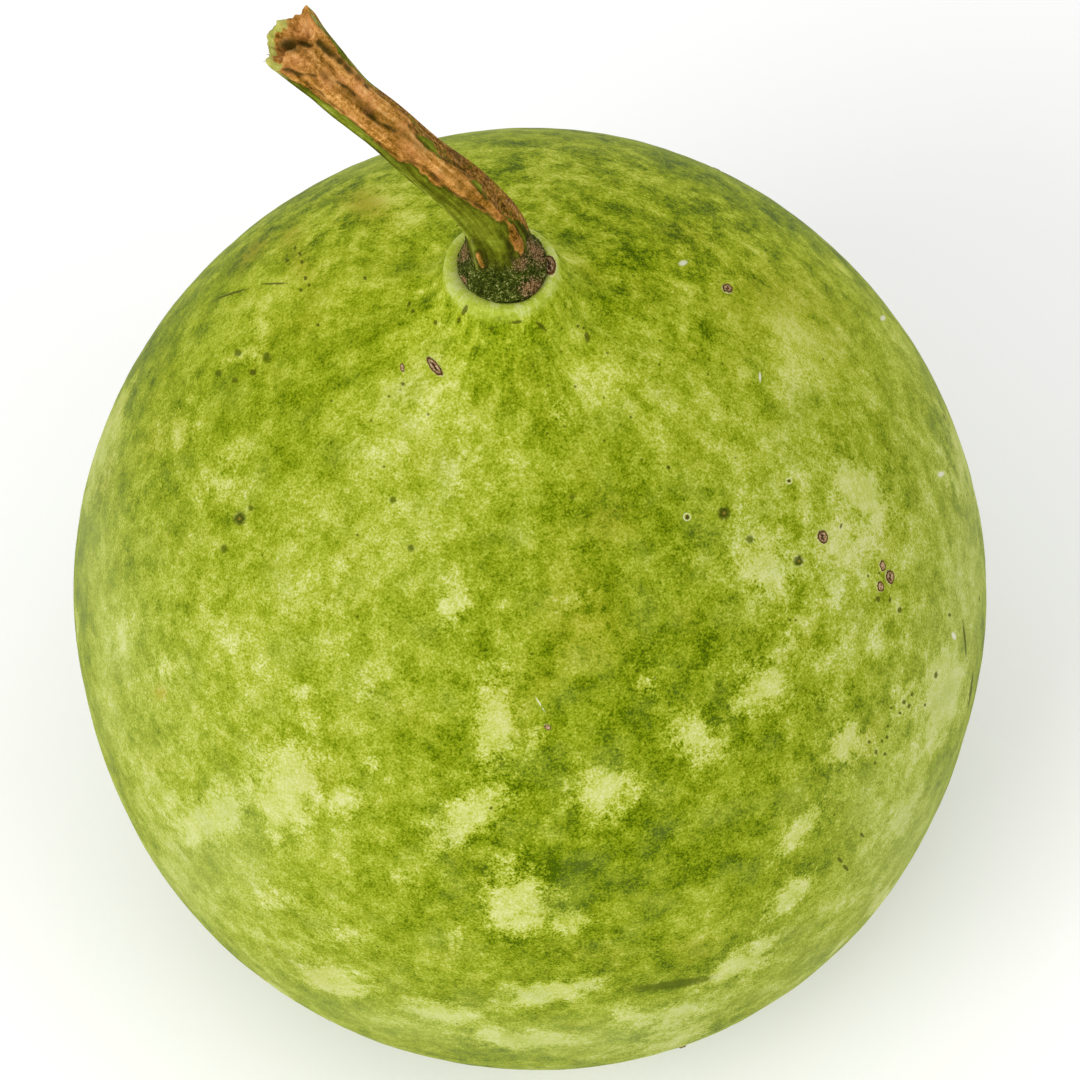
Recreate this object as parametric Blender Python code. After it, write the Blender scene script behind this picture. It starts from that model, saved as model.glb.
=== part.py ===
"""A sugar bowl gourd, picked green: one round fruit with a low collar, and its dried, torn stem.

Metres, +Z up. The origin is the centre of the small flat spot that the gourd stands on.
The neck leans to -X, and the stem bends away to -X and a little to +Y.
"""

import math

import bmesh
import bpy
import numpy as np
from mathutils import Vector

TURN = 2 * math.pi

# The fruit's body: two superellipse halves that meet at its widest ring.
BODY_RADIUS = 0.0880
BELLY_DEPTH = 0.0844
BELLY_FULLNESS = 2.63
SHOULDER_HEIGHT = 0.0965
SHOULDER_FULLNESS = 1.81
FLAT_RADIUS = 0.0160

# Uneven growth: shares of the radius, and where round the fruit each swelling faces.
OVAL, OVAL_FACES = 0.004, math.radians(76)
THREE_SIDES, THREE_SIDES_FACE = 0.011, math.radians(76)
SKEW, SKEW_FACES = 0.031, math.radians(173)
EVEN_WITHIN, UNEVEN_BEYOND = 0.014, 0.042

# The neck, which stands on the shoulders, and the folds that run down from it.
NECK_LEAN = 0.0057
STEEP_RISE, STEEP_WIDTH = 0.0056, 0.0021
GENTLE_RISE, GENTLE_WIDTH = 0.0036, 0.0120
NECK_REACH = 0.0400
NECK_CROWDING = 1.7  # packs the neck's rings closer towards the collar
FOLDS, FOLD_DEPTH, FOLD_WIDTH = 9, 0.0005, 0.0090
FOLD_SWAY = 1.3  # keeps the folds from standing evenly round the neck
RIM_HEIGHT = 0.1062  # of the lip's top above the widest ring

# The collar round the stem's socket.
COLLAR_RADIUS = 0.0103
LIP_RADIUS = 0.0014
LIP_WAVE, LIP_WAVES, LIP_WAVE_TURN = 0.0004, 3, 0.6
WAVE_STARTS, WAVE_IS_FULL = 0.0060, 0.0010  # below the rim
SOCKET_RADIUS = COLLAR_RADIUS - 2 * LIP_RADIUS
SOCKET_DEPTH = 0.0075

# The stem's centre line, from the middle of the collar's rim.
STEM_LINE = (
    (0.0008, 0.0000, -0.0062),
    (0.0000, 0.0000, 0.0000),
    (-0.0014, 0.0000, 0.0110),
    (-0.0059, 0.0010, 0.0206),
    (-0.0125, 0.0025, 0.0281),
    (-0.0188, 0.0040, 0.0346),
    (-0.0249, 0.0055, 0.0408),
    (-0.0303, 0.0070, 0.0474),
    (-0.0345, 0.0083, 0.0528),
)
LINE_STEPS = 400  # short chords that measure the curve through those points
AHEAD = 0.0010  # how far the line's direction looks each way
# (length along that line, radius there): root, waist and torn end.
STEM_SIZES = (
    (0.0000, 0.0071),
    (0.0058, 0.0071),
    (0.0078, 0.0067),
    (0.0105, 0.0059),
    (0.0150, 0.0052),
    (0.0220, 0.0048),
    (0.0320, 0.0045),
    (0.0430, 0.0042),
    (0.0540, 0.0041),
    (0.0620, 0.0043),
    (0.0690, 0.0050),
    (0.0800, 0.0062),
)
STEM_RIBS, RIB_DEPTH, RIB_TWIST = 5, 0.075, math.radians(70)
ROOT_LENGTH = 0.0110

# The torn end: a tall corner and a slanting, ragged rim round a shallow hollow.
TORN_LENGTH = 0.0060
CORNER_HEIGHT, CORNER_FACES, CORNER_WIDTH = 0.0024, math.radians(20), math.radians(28)
SLANT_HEIGHT, SLANT_FACES = 0.0014, math.radians(85)
RAGGED_HEIGHT = 0.0004
# (waves round the rim, turn, share of the ragged height)
RAGGED_WAVES = ((4, 0.8, 1.0), (7, 2.0, 0.8), (11, 0.0, 0.6))
# (share of the rim's radius, share of the torn height kept, depth below the last even ring)
HOLLOW_RINGS = (
    (0.86, 0.96, 0.0000),
    (0.66, 0.55, 0.0009),
    (0.48, 0.00, 0.0030),
    (0.22, 0.00, 0.0042),
)

# Even steps for the mesh.
FRUIT_SIDES = 64
STEM_SIDES = 30
BELLY_RINGS = 15
SHOULDER_RINGS = 13
NECK_RINGS = 9
LIP_RINGS = 6
STEM_RINGS = 34

SHARP_EDGE = math.radians(50)


def smooth_step(low, high, value):
    """0 below low, 1 above high, and a soft rise between them."""
    share = min(max((value - low) / (high - low), 0.0), 1.0)
    return share * share * (3 - 2 * share)


def widest_ring_height():
    """Height of the widest ring above the flat spot."""
    return BELLY_DEPTH * (1 - (FLAT_RADIUS / BODY_RADIUS) ** BELLY_FULLNESS) ** (1 / BELLY_FULLNESS)


def shoulder_height_at(radius):
    """Height of the bare shoulders above the widest ring, at this distance from the axis."""
    share = (radius / BODY_RADIUS) ** SHOULDER_FULLNESS
    return SHOULDER_HEIGHT * (1 - share) ** (1 / SHOULDER_FULLNESS)


def neck_height_at(radius):
    """Height of the shoulders with the neck's two concave rises on them."""
    out = radius - COLLAR_RADIUS
    steep = STEEP_RISE * math.exp(-out / STEEP_WIDTH)
    gentle = GENTLE_RISE * math.exp(-out / GENTLE_WIDTH)
    return shoulder_height_at(radius) + steep + gentle


def fruit_profile():
    """(radius, height above the widest ring), from the flat spot over the lip and into the socket."""
    base = -widest_ring_height()
    points = [(FLAT_RADIUS, base)]
    first = math.asin((-base / BELLY_DEPTH) ** (BELLY_FULLNESS / 2))
    for step in range(1, BELLY_RINGS + 1):
        turn = first * (1 - step / BELLY_RINGS)
        radius = BODY_RADIUS * math.cos(turn) ** (2 / BELLY_FULLNESS)
        points.append((radius, -BELLY_DEPTH * math.sin(turn) ** (2 / BELLY_FULLNESS)))
    last = math.acos((NECK_REACH / BODY_RADIUS) ** (SHOULDER_FULLNESS / 2))
    for step in range(1, SHOULDER_RINGS + 1):
        turn = last * step / SHOULDER_RINGS
        radius = BODY_RADIUS * math.cos(turn) ** (2 / SHOULDER_FULLNESS)
        points.append((radius, neck_height_at(radius)))
    for step in range(1, NECK_RINGS + 1):
        share = (1 - step / NECK_RINGS) ** NECK_CROWDING
        radius = COLLAR_RADIUS + (NECK_REACH - COLLAR_RADIUS) * share
        points.append((radius, neck_height_at(radius)))
    for step in range(LIP_RINGS + 1):
        turn = math.pi * step / LIP_RINGS
        radius = COLLAR_RADIUS - LIP_RADIUS * (1 - math.cos(turn))
        points.append((radius, RIM_HEIGHT - LIP_RADIUS * (1 - math.sin(turn))))
    points.append((SOCKET_RADIUS, RIM_HEIGHT - SOCKET_DEPTH))
    return points


def uneven(angle, radius, height):
    """The share by which the fruit is wider or narrower here than a turned one."""
    rise = height / (SHOULDER_HEIGHT if height > 0 else BELLY_DEPTH)
    swell = OVAL * math.cos(2 * (angle - OVAL_FACES))
    swell += THREE_SIDES * math.cos(3 * (angle - THREE_SIDES_FACE))
    swell += SKEW * rise * math.cos(2 * (angle - SKEW_FACES))
    # The flat spot and the neck stay round.
    return swell * smooth_step(EVEN_WITHIN, UNEVEN_BEYOND, radius)


def fold_depth(angle, radius, height):
    """How far the folds sink the skin round the neck."""
    if radius < COLLAR_RADIUS or height < 0:
        return 0.0
    out = (radius - COLLAR_RADIUS) / FOLD_WIDTH
    wave = 0.5 - 0.5 * math.cos(FOLDS * angle + FOLD_SWAY * math.sin(2 * angle))
    return FOLD_DEPTH * wave * out * math.exp(1 - out)


def lip_wave(angle, radius, height):
    """How far the collar's rim, which isn't quite level, stands above its mean height."""
    if radius < SOCKET_RADIUS:
        return 0.0
    near = smooth_step(RIM_HEIGHT - WAVE_STARTS, RIM_HEIGHT - WAVE_IS_FULL, height)
    return LIP_WAVE * near * math.sin(LIP_WAVES * angle + LIP_WAVE_TURN)


def shaped(point):
    """A point of the turned fruit, moved to where the grown one has it."""
    radius, height = math.hypot(point.x, point.y), point.z
    angle = math.atan2(point.y, point.x)
    wide = radius * (1 + uneven(angle, radius, height))
    rise = max(height, 0.0) / RIM_HEIGHT
    across = wide * math.cos(angle) - NECK_LEAN * rise * rise
    back = wide * math.sin(angle)
    relief = lip_wave(angle, radius, height) - fold_depth(angle, radius, height)
    return Vector((across, back, height + widest_ring_height() + relief))


def make_fruit():
    """The fruit: its profile spun round the axis, then each point moved by the fruit's growth."""
    mesh = bmesh.new()
    line = [mesh.verts.new((radius, 0.0, height)) for radius, height in fruit_profile()]
    edges = [mesh.edges.new(pair) for pair in zip(line, line[1:])]
    whole_turn = {"cent": (0, 0, 0), "axis": (0, 0, 1), "angle": TURN, "steps": FRUIT_SIDES}
    bmesh.ops.spin(mesh, geom=line + edges, use_merge=True, **whole_turn)
    for vertex in mesh.verts:
        vertex.co = shaped(vertex.co)
    # One flat face closes the base, and one closes the socket.
    bmesh.ops.holes_fill(mesh, edges=mesh.edges, sides=FRUIT_SIDES)
    bmesh.ops.recalc_face_normals(mesh, faces=mesh.faces)
    return mesh


def through(points, share):
    """A point on the smooth curve through these points, from 0 at the first to 1 at the last."""
    count = len(points) - 1
    index = min(int(share * count), count - 1)
    t = share * count - index
    a, b, c, d = (Vector(points[min(max(index + k, 0), count)]) for k in (-1, 0, 1, 2))
    bend = (2 * a - 5 * b + 4 * c - d) * t ** 2 + (3 * b - a - 3 * c + d) * t ** 3
    return 0.5 * (2 * b + (c - a) * t + bend)


def stem_stations(count):
    """(point, direction, length so far) at even steps along the stem's centre line."""
    fine = np.array([through(STEM_LINE, step / LINE_STEPS) for step in range(LINE_STEPS + 1)])
    chords = np.linalg.norm(np.diff(fine, axis=0), axis=1)
    lengths = np.concatenate([[0.0], np.cumsum(chords)])

    def point_at(length):
        return Vector([float(np.interp(length, lengths, fine[:, axis])) for axis in range(3)])

    stations = []
    for length in np.linspace(0, lengths[-1], count):
        direction = (point_at(length + AHEAD) - point_at(length - AHEAD)).normalized()
        stations.append((point_at(length), direction, float(length)))
    return stations


def across(direction):
    """Two unit vectors square to the stem: one towards +X, and one towards +Y."""
    first = (Vector((1, 0, 0)) - direction * direction.x).normalized()
    return first, direction.cross(first)


def ring_radius(angle, length, whole):
    """The stem's radius, with its ribs, which deepen towards the torn end."""
    radius = float(np.interp(length, *zip(*STEM_SIZES)))
    ribs = RIB_DEPTH * smooth_step(ROOT_LENGTH * 0.8, ROOT_LENGTH * 2, length)
    ribs *= 1 + smooth_step(whole - 2 * TORN_LENGTH, whole, length)
    turn = angle - RIB_TWIST * length / whole
    return radius * (1 + ribs * math.cos(STEM_RIBS * turn))


def torn_height(angle):
    """How far the torn rim stands past the stem's last even ring."""
    away = math.remainder(angle - CORNER_FACES, TURN) / CORNER_WIDTH
    corner = CORNER_HEIGHT * math.exp(-away * away)
    slant = SLANT_HEIGHT * math.cos(angle - SLANT_FACES)
    ragged = sum(share * math.sin(waves * angle + turn) for waves, turn, share in RAGGED_WAVES)
    return corner + slant + RAGGED_HEIGHT * ragged


def skin(mesh, below, above):
    """Faces between two rings that hold the same number of vertices."""
    sides = len(below)
    for k in range(sides):
        after = (k + 1) % sides
        mesh.faces.new((below[k], below[after], above[after], above[k]))


def make_stem(rim_centre):
    """The stem: rings along its centre line, a ragged rim, and a hollow where the pith tore out."""
    mesh = bmesh.new()
    stations = stem_stations(STEM_RINGS)
    whole = stations[-1][2]
    angles = [TURN * k / STEM_SIDES for k in range(STEM_SIDES)]
    rings = []
    for point, direction, length in stations:
        first, second = across(direction)
        flare = smooth_step(whole - TORN_LENGTH, whole, length)
        ring = []
        for angle in angles:
            out = first * math.cos(angle) + second * math.sin(angle)
            # The last rings follow the torn edge more and more.
            along = direction * torn_height(angle) * flare
            place = rim_centre + point + along + out * ring_radius(angle, length, whole)
            ring.append(mesh.verts.new(place))
        rings.append(ring)
    point, direction, length = stations[-1]
    first, second = across(direction)
    for inward, kept, depth in HOLLOW_RINGS:
        ring = []
        for angle in angles:
            out = first * math.cos(angle) + second * math.sin(angle)
            along = direction * (torn_height(angle) * kept - depth)
            place = rim_centre + point + along + out * ring_radius(angle, length, whole) * inward
            ring.append(mesh.verts.new(place))
        rings.append(ring)
    for below, above in zip(rings, rings[1:]):
        skin(mesh, below, above)
    mesh.faces.new(reversed(rings[0]))
    mesh.faces.new(rings[-1])
    bmesh.ops.recalc_face_normals(mesh, faces=mesh.faces)
    return mesh


def make_material(name, colour, roughness):
    """A Principled material of one colour."""
    material = bpy.data.materials.new(name)
    material.use_nodes = True
    shader = material.node_tree.nodes["Principled BSDF"]
    shader.inputs["Base Color"].default_value = (*colour, 1.0)
    shader.inputs["Roughness"].default_value = roughness
    shader.inputs["Metallic"].default_value = 0.0
    return material


def add_object(name, mesh, material):
    """An object of this mesh in the scene, shaded smooth but for its sharp edges."""
    data = bpy.data.meshes.new(name)
    mesh.to_mesh(data)
    mesh.free()
    data.shade_smooth()
    data.set_sharp_from_angle(angle=SHARP_EDGE)
    data.materials.append(material)
    made = bpy.data.objects.new(name, data)
    bpy.context.scene.collection.objects.link(made)
    return made


def main():
    for old in list(bpy.data.objects):
        bpy.data.objects.remove(old)
    rind = make_material("green_rind", (0.30, 0.42, 0.06), 0.45)
    bark = make_material("dried_stem", (0.36, 0.24, 0.10), 0.75)
    add_object("fruit", make_fruit(), rind)
    rim_centre = Vector((-NECK_LEAN, 0.0, widest_ring_height() + RIM_HEIGHT))
    add_object("stem", make_stem(rim_centre), bark)


main()
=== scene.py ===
"""Looks of the sugar bowl gourd: a mottled green fruit, its corky scars and its dried, torn stem.

Both solids of the part are made again with a fine mesh: the fruit with a lip that is wider inside on
one side, and the stem with small changes at its root and its torn end. Marks on the skin are placed
by the pixel where the photograph shows them, and lie on the skin itself.
"""

import math

import bmesh
import bpy
import numpy as np
from mathutils import Matrix, Vector, noise
from mathutils.bvhtree import BVHTree


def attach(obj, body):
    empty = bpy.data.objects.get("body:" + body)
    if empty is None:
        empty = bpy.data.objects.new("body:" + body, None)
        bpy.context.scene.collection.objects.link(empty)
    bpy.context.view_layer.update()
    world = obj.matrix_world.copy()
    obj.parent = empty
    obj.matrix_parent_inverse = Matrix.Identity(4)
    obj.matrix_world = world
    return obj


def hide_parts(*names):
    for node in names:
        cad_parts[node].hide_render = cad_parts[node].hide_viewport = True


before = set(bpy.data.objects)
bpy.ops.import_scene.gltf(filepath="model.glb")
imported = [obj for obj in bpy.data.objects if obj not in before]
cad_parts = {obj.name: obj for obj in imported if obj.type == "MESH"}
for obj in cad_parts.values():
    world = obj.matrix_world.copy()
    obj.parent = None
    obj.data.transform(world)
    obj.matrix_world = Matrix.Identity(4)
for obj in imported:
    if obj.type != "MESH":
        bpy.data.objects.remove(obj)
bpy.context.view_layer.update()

TURN = 2 * math.pi

# The fruit, as in the part but for its lip: metres, and angles round its axis.
BODY_RADIUS = 0.0880
BELLY_DEPTH = 0.0844
BELLY_FULLNESS = 2.63
SHOULDER_HEIGHT = 0.0965
SHOULDER_FULLNESS = 1.81
FLAT_RADIUS = 0.0160
OVAL, OVAL_FACES = 0.004, math.radians(76)
THREE_SIDES, THREE_SIDES_FACE = 0.011, math.radians(76)
SKEW, SKEW_FACES = 0.031, math.radians(173)
EVEN_WITHIN, UNEVEN_BEYOND = 0.014, 0.042
NECK_LEAN = 0.0057
STEEP_RISE, STEEP_WIDTH = 0.0056, 0.0021
GENTLE_RISE, GENTLE_WIDTH = 0.0036, 0.0120
NECK_REACH = 0.0400
FOLDS, FOLD_DEPTH, FOLD_WIDTH = 9, 0.0005, 0.0090
RIM_HEIGHT = 0.1062
COLLAR_RADIUS = 0.0103
LIP_RADIUS = 0.0014
LIP_WAVE = 0.0004
SOCKET_RADIUS = COLLAR_RADIUS - 2 * LIP_RADIUS
SOCKET_DEPTH = 0.0075
# Where the lip is wider on its inside, and the stem's root is narrower by as much and a little more.
LIP_SWELL, LIP_SWELL_FACES, LIP_SWELL_WIDTH = 0.0011, math.radians(212), math.radians(50)

# The stem, much as in the part: points from the middle of the rim, then lengths with their radius.
# Its root is a little thicker where it meets the lip.
STEM_LINE = (
    (0.0008, 0, -0.0062), (0, 0, 0), (-0.0011, 0, 0.011), (-0.006, 0.0006, 0.0205),
    (-0.0129, 0.0021, 0.028), (-0.0188, 0.004, 0.0346), (-0.0249, 0.0055, 0.0408),
    (-0.0303, 0.007, 0.0474), (-0.0345, 0.0083, 0.0528),
)
STEM_SIZES = (
    (0, 0.0078), (0.0054, 0.008), (0.0064, 0.0084), (0.0074, 0.0075), (0.009, 0.0068), (0.011, 0.0062),
    (0.015, 0.0056), (0.0185, 0.0052), (0.023, 0.0048), (0.032, 0.0045), (0.043, 0.0042),
    (0.054, 0.0041), (0.062, 0.0043), (0.069, 0.0049), (0.08, 0.0059),
)
STEM_RIBS, RIB_DEPTH, RIB_TWIST = 5, 0.075, math.radians(70)
ROOT_LENGTH = 0.0110
TORN_LENGTH = 0.0060
# (height, ring angle and width of each corner, and how far it leans outwards)
CORNERS = (
    (0.0019, math.radians(22), math.radians(26), 0.0001),
    (0.0012, math.radians(24), math.radians(9), 0.0009),
    (0.0013, math.radians(125), math.radians(20), 0.0),
)
SLANT_HEIGHT, SLANT_FACES = 0.0008, math.radians(95)
# The stem is fuller under its high corner.
BULGE, BULGE_FACES, BULGE_WIDTH = 0.0010, math.radians(32), math.radians(42)
BULGE_GROWS, BULGE_LOSS, BULGE_ENDS = (0.054, 0.065), 0.6, 0.0020
# The root is narrower below these lengths, where the lip is wider.
NARROWS = (0.0105, 0.0070)
RAGGED_HEIGHT = 0.0004
RAGGED_WAVES = ((4, 0.8, 1.0), (7, 2.0, 0.8), (11, 0.0, 0.6))
# (share of the rim's radius, share of the torn height kept, depth below the last even ring)
HOLLOW_RINGS = (
    (1, 1, 0), (0.93, 1.02, 0), (0.84, 0.92, 0.0002), (0.62, 0.5, 0.0012), (0.44, 0.1, 0.0032),
    (0.22, 0, 0.0044), (0.05, 0, 0.0046),
)

# The fine meshes: their steps, and how far inside the part's box the skin stays.
FRUIT_SIDES = 360
FLAT_RINGS = np.r_[np.linspace(0.0004, 0.0070, 18), 0.0085, 0.0105, 0.0130, FLAT_RADIUS]
BELLY_RINGS = 96
SHOULDER_RINGS = 80
NECK_RINGS, NECK_CROWDING = 46, 1.5
LIP_RINGS = 12
SOCKET_RINGS = 5
STEM_SIDES = 128
STEM_RINGS = 320
SKIN_INSET = 0.0002
# (height, feature size, octaves and seed) of each layer of noise in a relief
SKIN_LUMPS = ((0.00012, 0.012, 3, 0), (0.00004, 0.0020, 2, 5))
STRIP_WANDER = ((0.0005, 0.004, 3, 0), (0.0003, 0.0012, 2, 4))
ROOT_GRAINS = ((0.00022, 0.0007, 2, 2), (0.00015, 0.0024, 2, 3))
BARK_GRAINS = ((0.00012, 0.0011, 3, 8),)
FACE_GRAINS = ((0.00022, 0.0009, 3, 1),)
# The streaks' turn round the neck to a metre, and how fine they are round it and along it.
FLOW_TURN, FLOW_ROUND, FLOW_ALONG = 4.0, 6.0, 40.0
FLOW_MIDDLE, FLOW_WIDTH, FLOW_REST = 0.015, 0.022, 0.32
BLOSSOM_RADIUS, BLOSSOM_DEPTH = 0.0048, 0.0010

# The photograph, and the camera that took it.
PHOTO_SIZE = 1080
CAMERA_PITCH = math.radians(58)
CAMERA_DISTANCE = 0.960
CAMERA_RIGHT, CAMERA_UP = 0.00124, 0.00825
LENS_PIXELS = 4978
SENSOR = 36.0
FLOOR_HALF = 40.0
FLOOR_COLOUR = (0.95, 0.95, 0.95, 1.0)
SURROUND_STRENGTH = 0.88
LIGHT_SIZE = 0.9
LIGHTS = (("key", (-0.85, -0.95, 0.95), 12.0), ("fill", (0.9, -0.6, 0.8), 3.0))
# The middle of the body in the photograph, and the share of the way to it that one step takes.
BODY_X, BODY_Y = 530, 600
STEP_IN = 0.02

# Broad tones of the skin: pixel, half width, half height, shift of tone in hundredths, and tilt in
# degrees where there is one. These were judged from the photograph.
# Most of these are the skin's own uneven tone, but some are painted light: the skin beside the stem is
# painted lighter where the stem's shadow falls, and the skin towards its left, right and lower outline paler
# where light wraps round it.
TONES_BY_EYE = (
    (660, 215, 90, 50, 5, 10), (630, 265, 34, 40, -3), (300, 400, 120, 50, -5, -25),
    (280, 225, 60, 26, -5, -30), (545, 610, 90, 80, -5), (650, 520, 60, 45, -5, 35),
    (690, 650, 85, 105, -3), (650, 845, 115, 58, -13), (600, 950, 110, 22, -8),
    (830, 790, 40, 40, -6), (770, 745, 36, 30, -6), (700, 975, 60, 24, -9, -15),
    (880, 400, 60, 70, -4, 30), (415, 450, 42, 110, 8), (462, 395, 34, 52, 8, 10),
    (590, 385, 30, 40, 7), (680, 330, 50, 36, 6), (810, 350, 56, 60, 5), (968, 600, 16, 60, 8),
    (920, 800, 30, 34, 6), (160, 800, 60, 50, -2), (220, 470, 50, 36, 8, 30),
    (265, 280, 42, 24, 9, -25), (630, 385, 72, 36, 7), (790, 320, 54, 42, 6, 25),
    (840, 550, 66, 72, 3), (165, 750, 95, 150, 10), (300, 925, 105, 75, 7, 25),
    (584, 625, 36, 36, 9), (612, 523, 18, 24, 7), (494, 472, 24, 24, 7), (900, 850, 70, 70, 11),
    (945, 560, 34, 160, 15), (150, 850, 60, 60, 7), (470, 170, 110, 20, 2),
    (800, 400, 90, 60, 5, 20), (520, 900, 120, 70, -8),
)
# The places of most of these were printed by a scratch program, which listed where the blurred
# tones of a render differed most from the photograph's. Some were then moved, and all their sizes
# and shifts were chosen one by one.
TONES_COMPARED = (
    (524, 378, 22, 56, -12), (606, 369, 38, 36, 36), (396, 520, 40, 50, 16),
    (426, 375, 30, 50, 12, 10), (439, 311, 24, 26, 12), (392, 198, 50, 20, 30, -10),
    (371, 231, 24, 16, 12, -15), (304, 655, 34, 34, 9), (160, 810, 30, 30, 10),
    (701, 282, 34, 20, 12), (787, 952, 40, 18, 10, -30), (501, 470, 24, 24, 8),
    (199, 323, 24, 30, 10, 30), (790, 560, 30, 60, -5, 20), (434, 383, 30, 30, 12),
    (415, 957, 40, 22, 14, 10), (354, 894, 36, 24, 12, 15), (192, 762, 34, 30, 10),
    (432, 765, 24, 30, 14), (165, 633, 30, 34, 9), (416, 477, 26, 30, 8), (318, 434, 36, 26, 10),
    (496, 1029, 60, 12, 12), (524, 211, 20, 16, 12), (560, 436, 30, 24, -9), (364, 268, 40, 24, 13),
    (366, 348, 36, 26, 10), (813, 456, 44, 34, 22), (860, 581, 32, 40, 20), (716, 387, 44, 30, 12),
    (890, 372, 30, 40, 22, 20), (616, 690, 42, 46, -23), (759, 749, 38, 30, -12),
    (606, 884, 46, 26, -17), (739, 870, 44, 40, -12), (734, 663, 44, 44, -11),
    (648, 564, 50, 44, -12), (452, 845, 34, 20, -10), (826, 775, 30, 26, -10),
    (543, 680, 34, 42, -9), (520, 868, 40, 18, -8), (275, 543, 44, 40, 11), (356, 578, 30, 30, 9),
    (811, 538, 30, 30, 7), (383, 183, 24, 18, 7), (943, 694, 16, 30, 7), (468, 566, 26, 26, 7),
    (536, 225, 16, 14, 7), (578, 351, 22, 22, 7), (353, 273, 26, 20, 7), (948, 585, 14, 30, 6),
    (693, 502, 24, 24, 7), (417, 647, 26, 26, 7), (271, 542, 26, 26, 11), (172, 440, 24, 24, 10),
    (498, 474, 24, 24, 12), (632, 388, 28, 24, 10), (683, 440, 26, 24, 10), (872, 674, 24, 24, 10),
    (825, 550, 22, 22, 10), (105, 685, 16, 30, 10), (448, 840, 26, 20, -12),
    (510, 336, 22, 14, -10), (834, 778, 24, 22, -9), (486, 674, 24, 24, -10),
    (504, 871, 26, 16, -9), (548, 546, 24, 24, -9), (736, 672, 24, 22, -8), (757, 747, 24, 22, -8),
    # (446, 223) is painted light on the skin beside the stem, where the stem's shadow falls.
    (747, 602, 24, 22, -8), (682, 785, 26, 22, -7), (389, 172, 26, 14, 12), (446, 223, 18, 16, 20),
    (405, 543, 24, 24, 9), (229, 923, 26, 20, 10, 20), (806, 947, 26, 20, 10, -30),
    (192, 317, 24, 22, 10, 30), (706, 270, 26, 20, 11), (702, 951, 28, 18, 9),
    (870, 324, 22, 26, 12, 20), (239, 417, 24, 24, 9), (949, 707, 14, 26, 10),
    (496, 156, 40, 10, 10), (448, 839, 24, 18, -8), (661, 1017, 24, 10, -9), (737, 874, 24, 22, -8),
    (575, 432, 24, 22, -8), (591, 837, 24, 16, -7), (245, 645, 24, 22, -6),
)
SKIN_TONES_AND_PAINTED_LIGHT = TONES_BY_EYE + TONES_COMPARED

# Pale, ragged blotches, as above but with their strength in hundredths.
PALE_BLOTCHES = (
    (494, 728, 21, 50, 95, 5), (537, 742, 17, 19, 59), (604, 793, 41, 33, 78),
    (698, 737, 31, 28, 85, 20), (472, 812, 57, 24, 85, -30), (285, 790, 31, 50, 98, 10),
    (347, 803, 21, 19, 75), (205, 820, 57, 26, 95, -35), (517, 903, 38, 39, 95), (568, 921, 26, 14, 77),
    (454, 942, 13, 12, 72), (549, 993, 57, 12, 95, -10), (445, 1012, 37, 11, 95, 6),
    (520, 1040, 62, 11, 95), (630, 1016, 18, 12, 80), (684, 1011, 24, 9, 80, -10),
    (678, 1040, 52, 17, 80, -20), (330, 980, 38, 14, 95, 18), (280, 900, 26, 14, 70, 15),
    (345, 935, 24, 12, 70, 10), (454, 602, 15, 32, 80, 15), (575, 600, 17, 19, 60),
    (765, 686, 24, 28, 90, -30), (752, 700, 26, 14, 75, -20), (850, 742, 21, 28, 85, 20),
    (800, 830, 38, 11, 90, -50), (790, 895, 35, 12, 85, -45), (745, 960, 45, 14, 95, -32),
    (900, 820, 35, 12, 80, -55), (945, 690, 20, 50, 95, 12), (860, 487, 20, 40, 105, -38),
    (762, 563, 28, 42, 85, -35), (838, 541, 31, 24, 75), (830, 586, 12, 9, 75), (165, 670, 17, 21, 75),
    (120, 640, 12, 24, 70, 10), (172, 433, 24, 32, 45, 25), (222, 478, 50, 24, 42, -35),
    (262, 325, 14, 10, 60, -10), (242, 357, 18, 13, 50, -25), (100, 450, 11, 71, 80, 18),
    (962, 460, 14, 71, 70, -18), (944, 660, 8, 21, 90, 8), (365, 690, 14, 17, 60),
    (370, 765, 12, 12, 60), (400, 880, 17, 11, 60), (655, 600, 12, 9, 45), (820, 655, 19, 11, 55, -20),
    (905, 640, 9, 17, 60, 15), (880, 900, 21, 9, 70, -50), (560, 410, 17, 21, 45, 10),
    (450, 480, 14, 26, 50, 10), (330, 600, 17, 14, 50), (300, 690, 19, 14, 55, -20),
    (235, 640, 14, 12, 55), (880, 520, 22, 16, 70, -30), (900, 700, 14, 30, 60, 10),
    (820, 700, 22, 14, 50), (650, 690, 14, 18, 45), (790, 640, 14, 12, 50),
)

# Yellow-brown patches, as above.
WARM_PATCHES = (
    (366, 203, 19, 12, 90, 10), (252, 253, 18, 6, 75, -45), (290, 237, 12, 7, 60, -50),
    (160, 693, 5, 5, 90), (790, 300, 50, 30, 30, 20), (584, 625, 34, 34, 30), (612, 523, 18, 22, 25),
    (300, 265, 12, 22, 35, -30),
)

# Painted sheen: where the skin is painted paler towards its left, right and lower outline, as light wraps
# round it, as above.
EDGE_SHEEN_PATCHES = (
    (90, 540, 24, 170, 50), (190, 880, 40, 60, 40, 35), (400, 1026, 130, 16, 40, 12),
    (600, 1040, 130, 16, 50, -8), (974, 560, 18, 200, 50), (950, 850, 24, 80, 50, 25),
    (820, 960, 50, 20, 30, -35),
)

# The upper half of the picture is more saturated: the rows between which that grows, its amount
# on sides that aren't seen, and the factor of each colour where it is full.
VIVID_ROWS = (560.0, 200.0)
VIVID_UNSEEN = 0.3
VIVID = (1.0, 1.03, 0.42, 1.0)

# Where the mottling is stronger, as above.
LIVELY_PATCHES = (
    (360, 200, 110, 40, 90, -15), (560, 165, 150, 36, 100), (700, 225, 110, 70, 80),
    (825, 600, 110, 170, 35), (480, 330, 70, 40, 30),
)

# What a mark on the skin looks like.
DOT, RINGED, FLECK, SMUDGE, PALE_RING = 1, 2, 3, 4, 5
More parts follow.
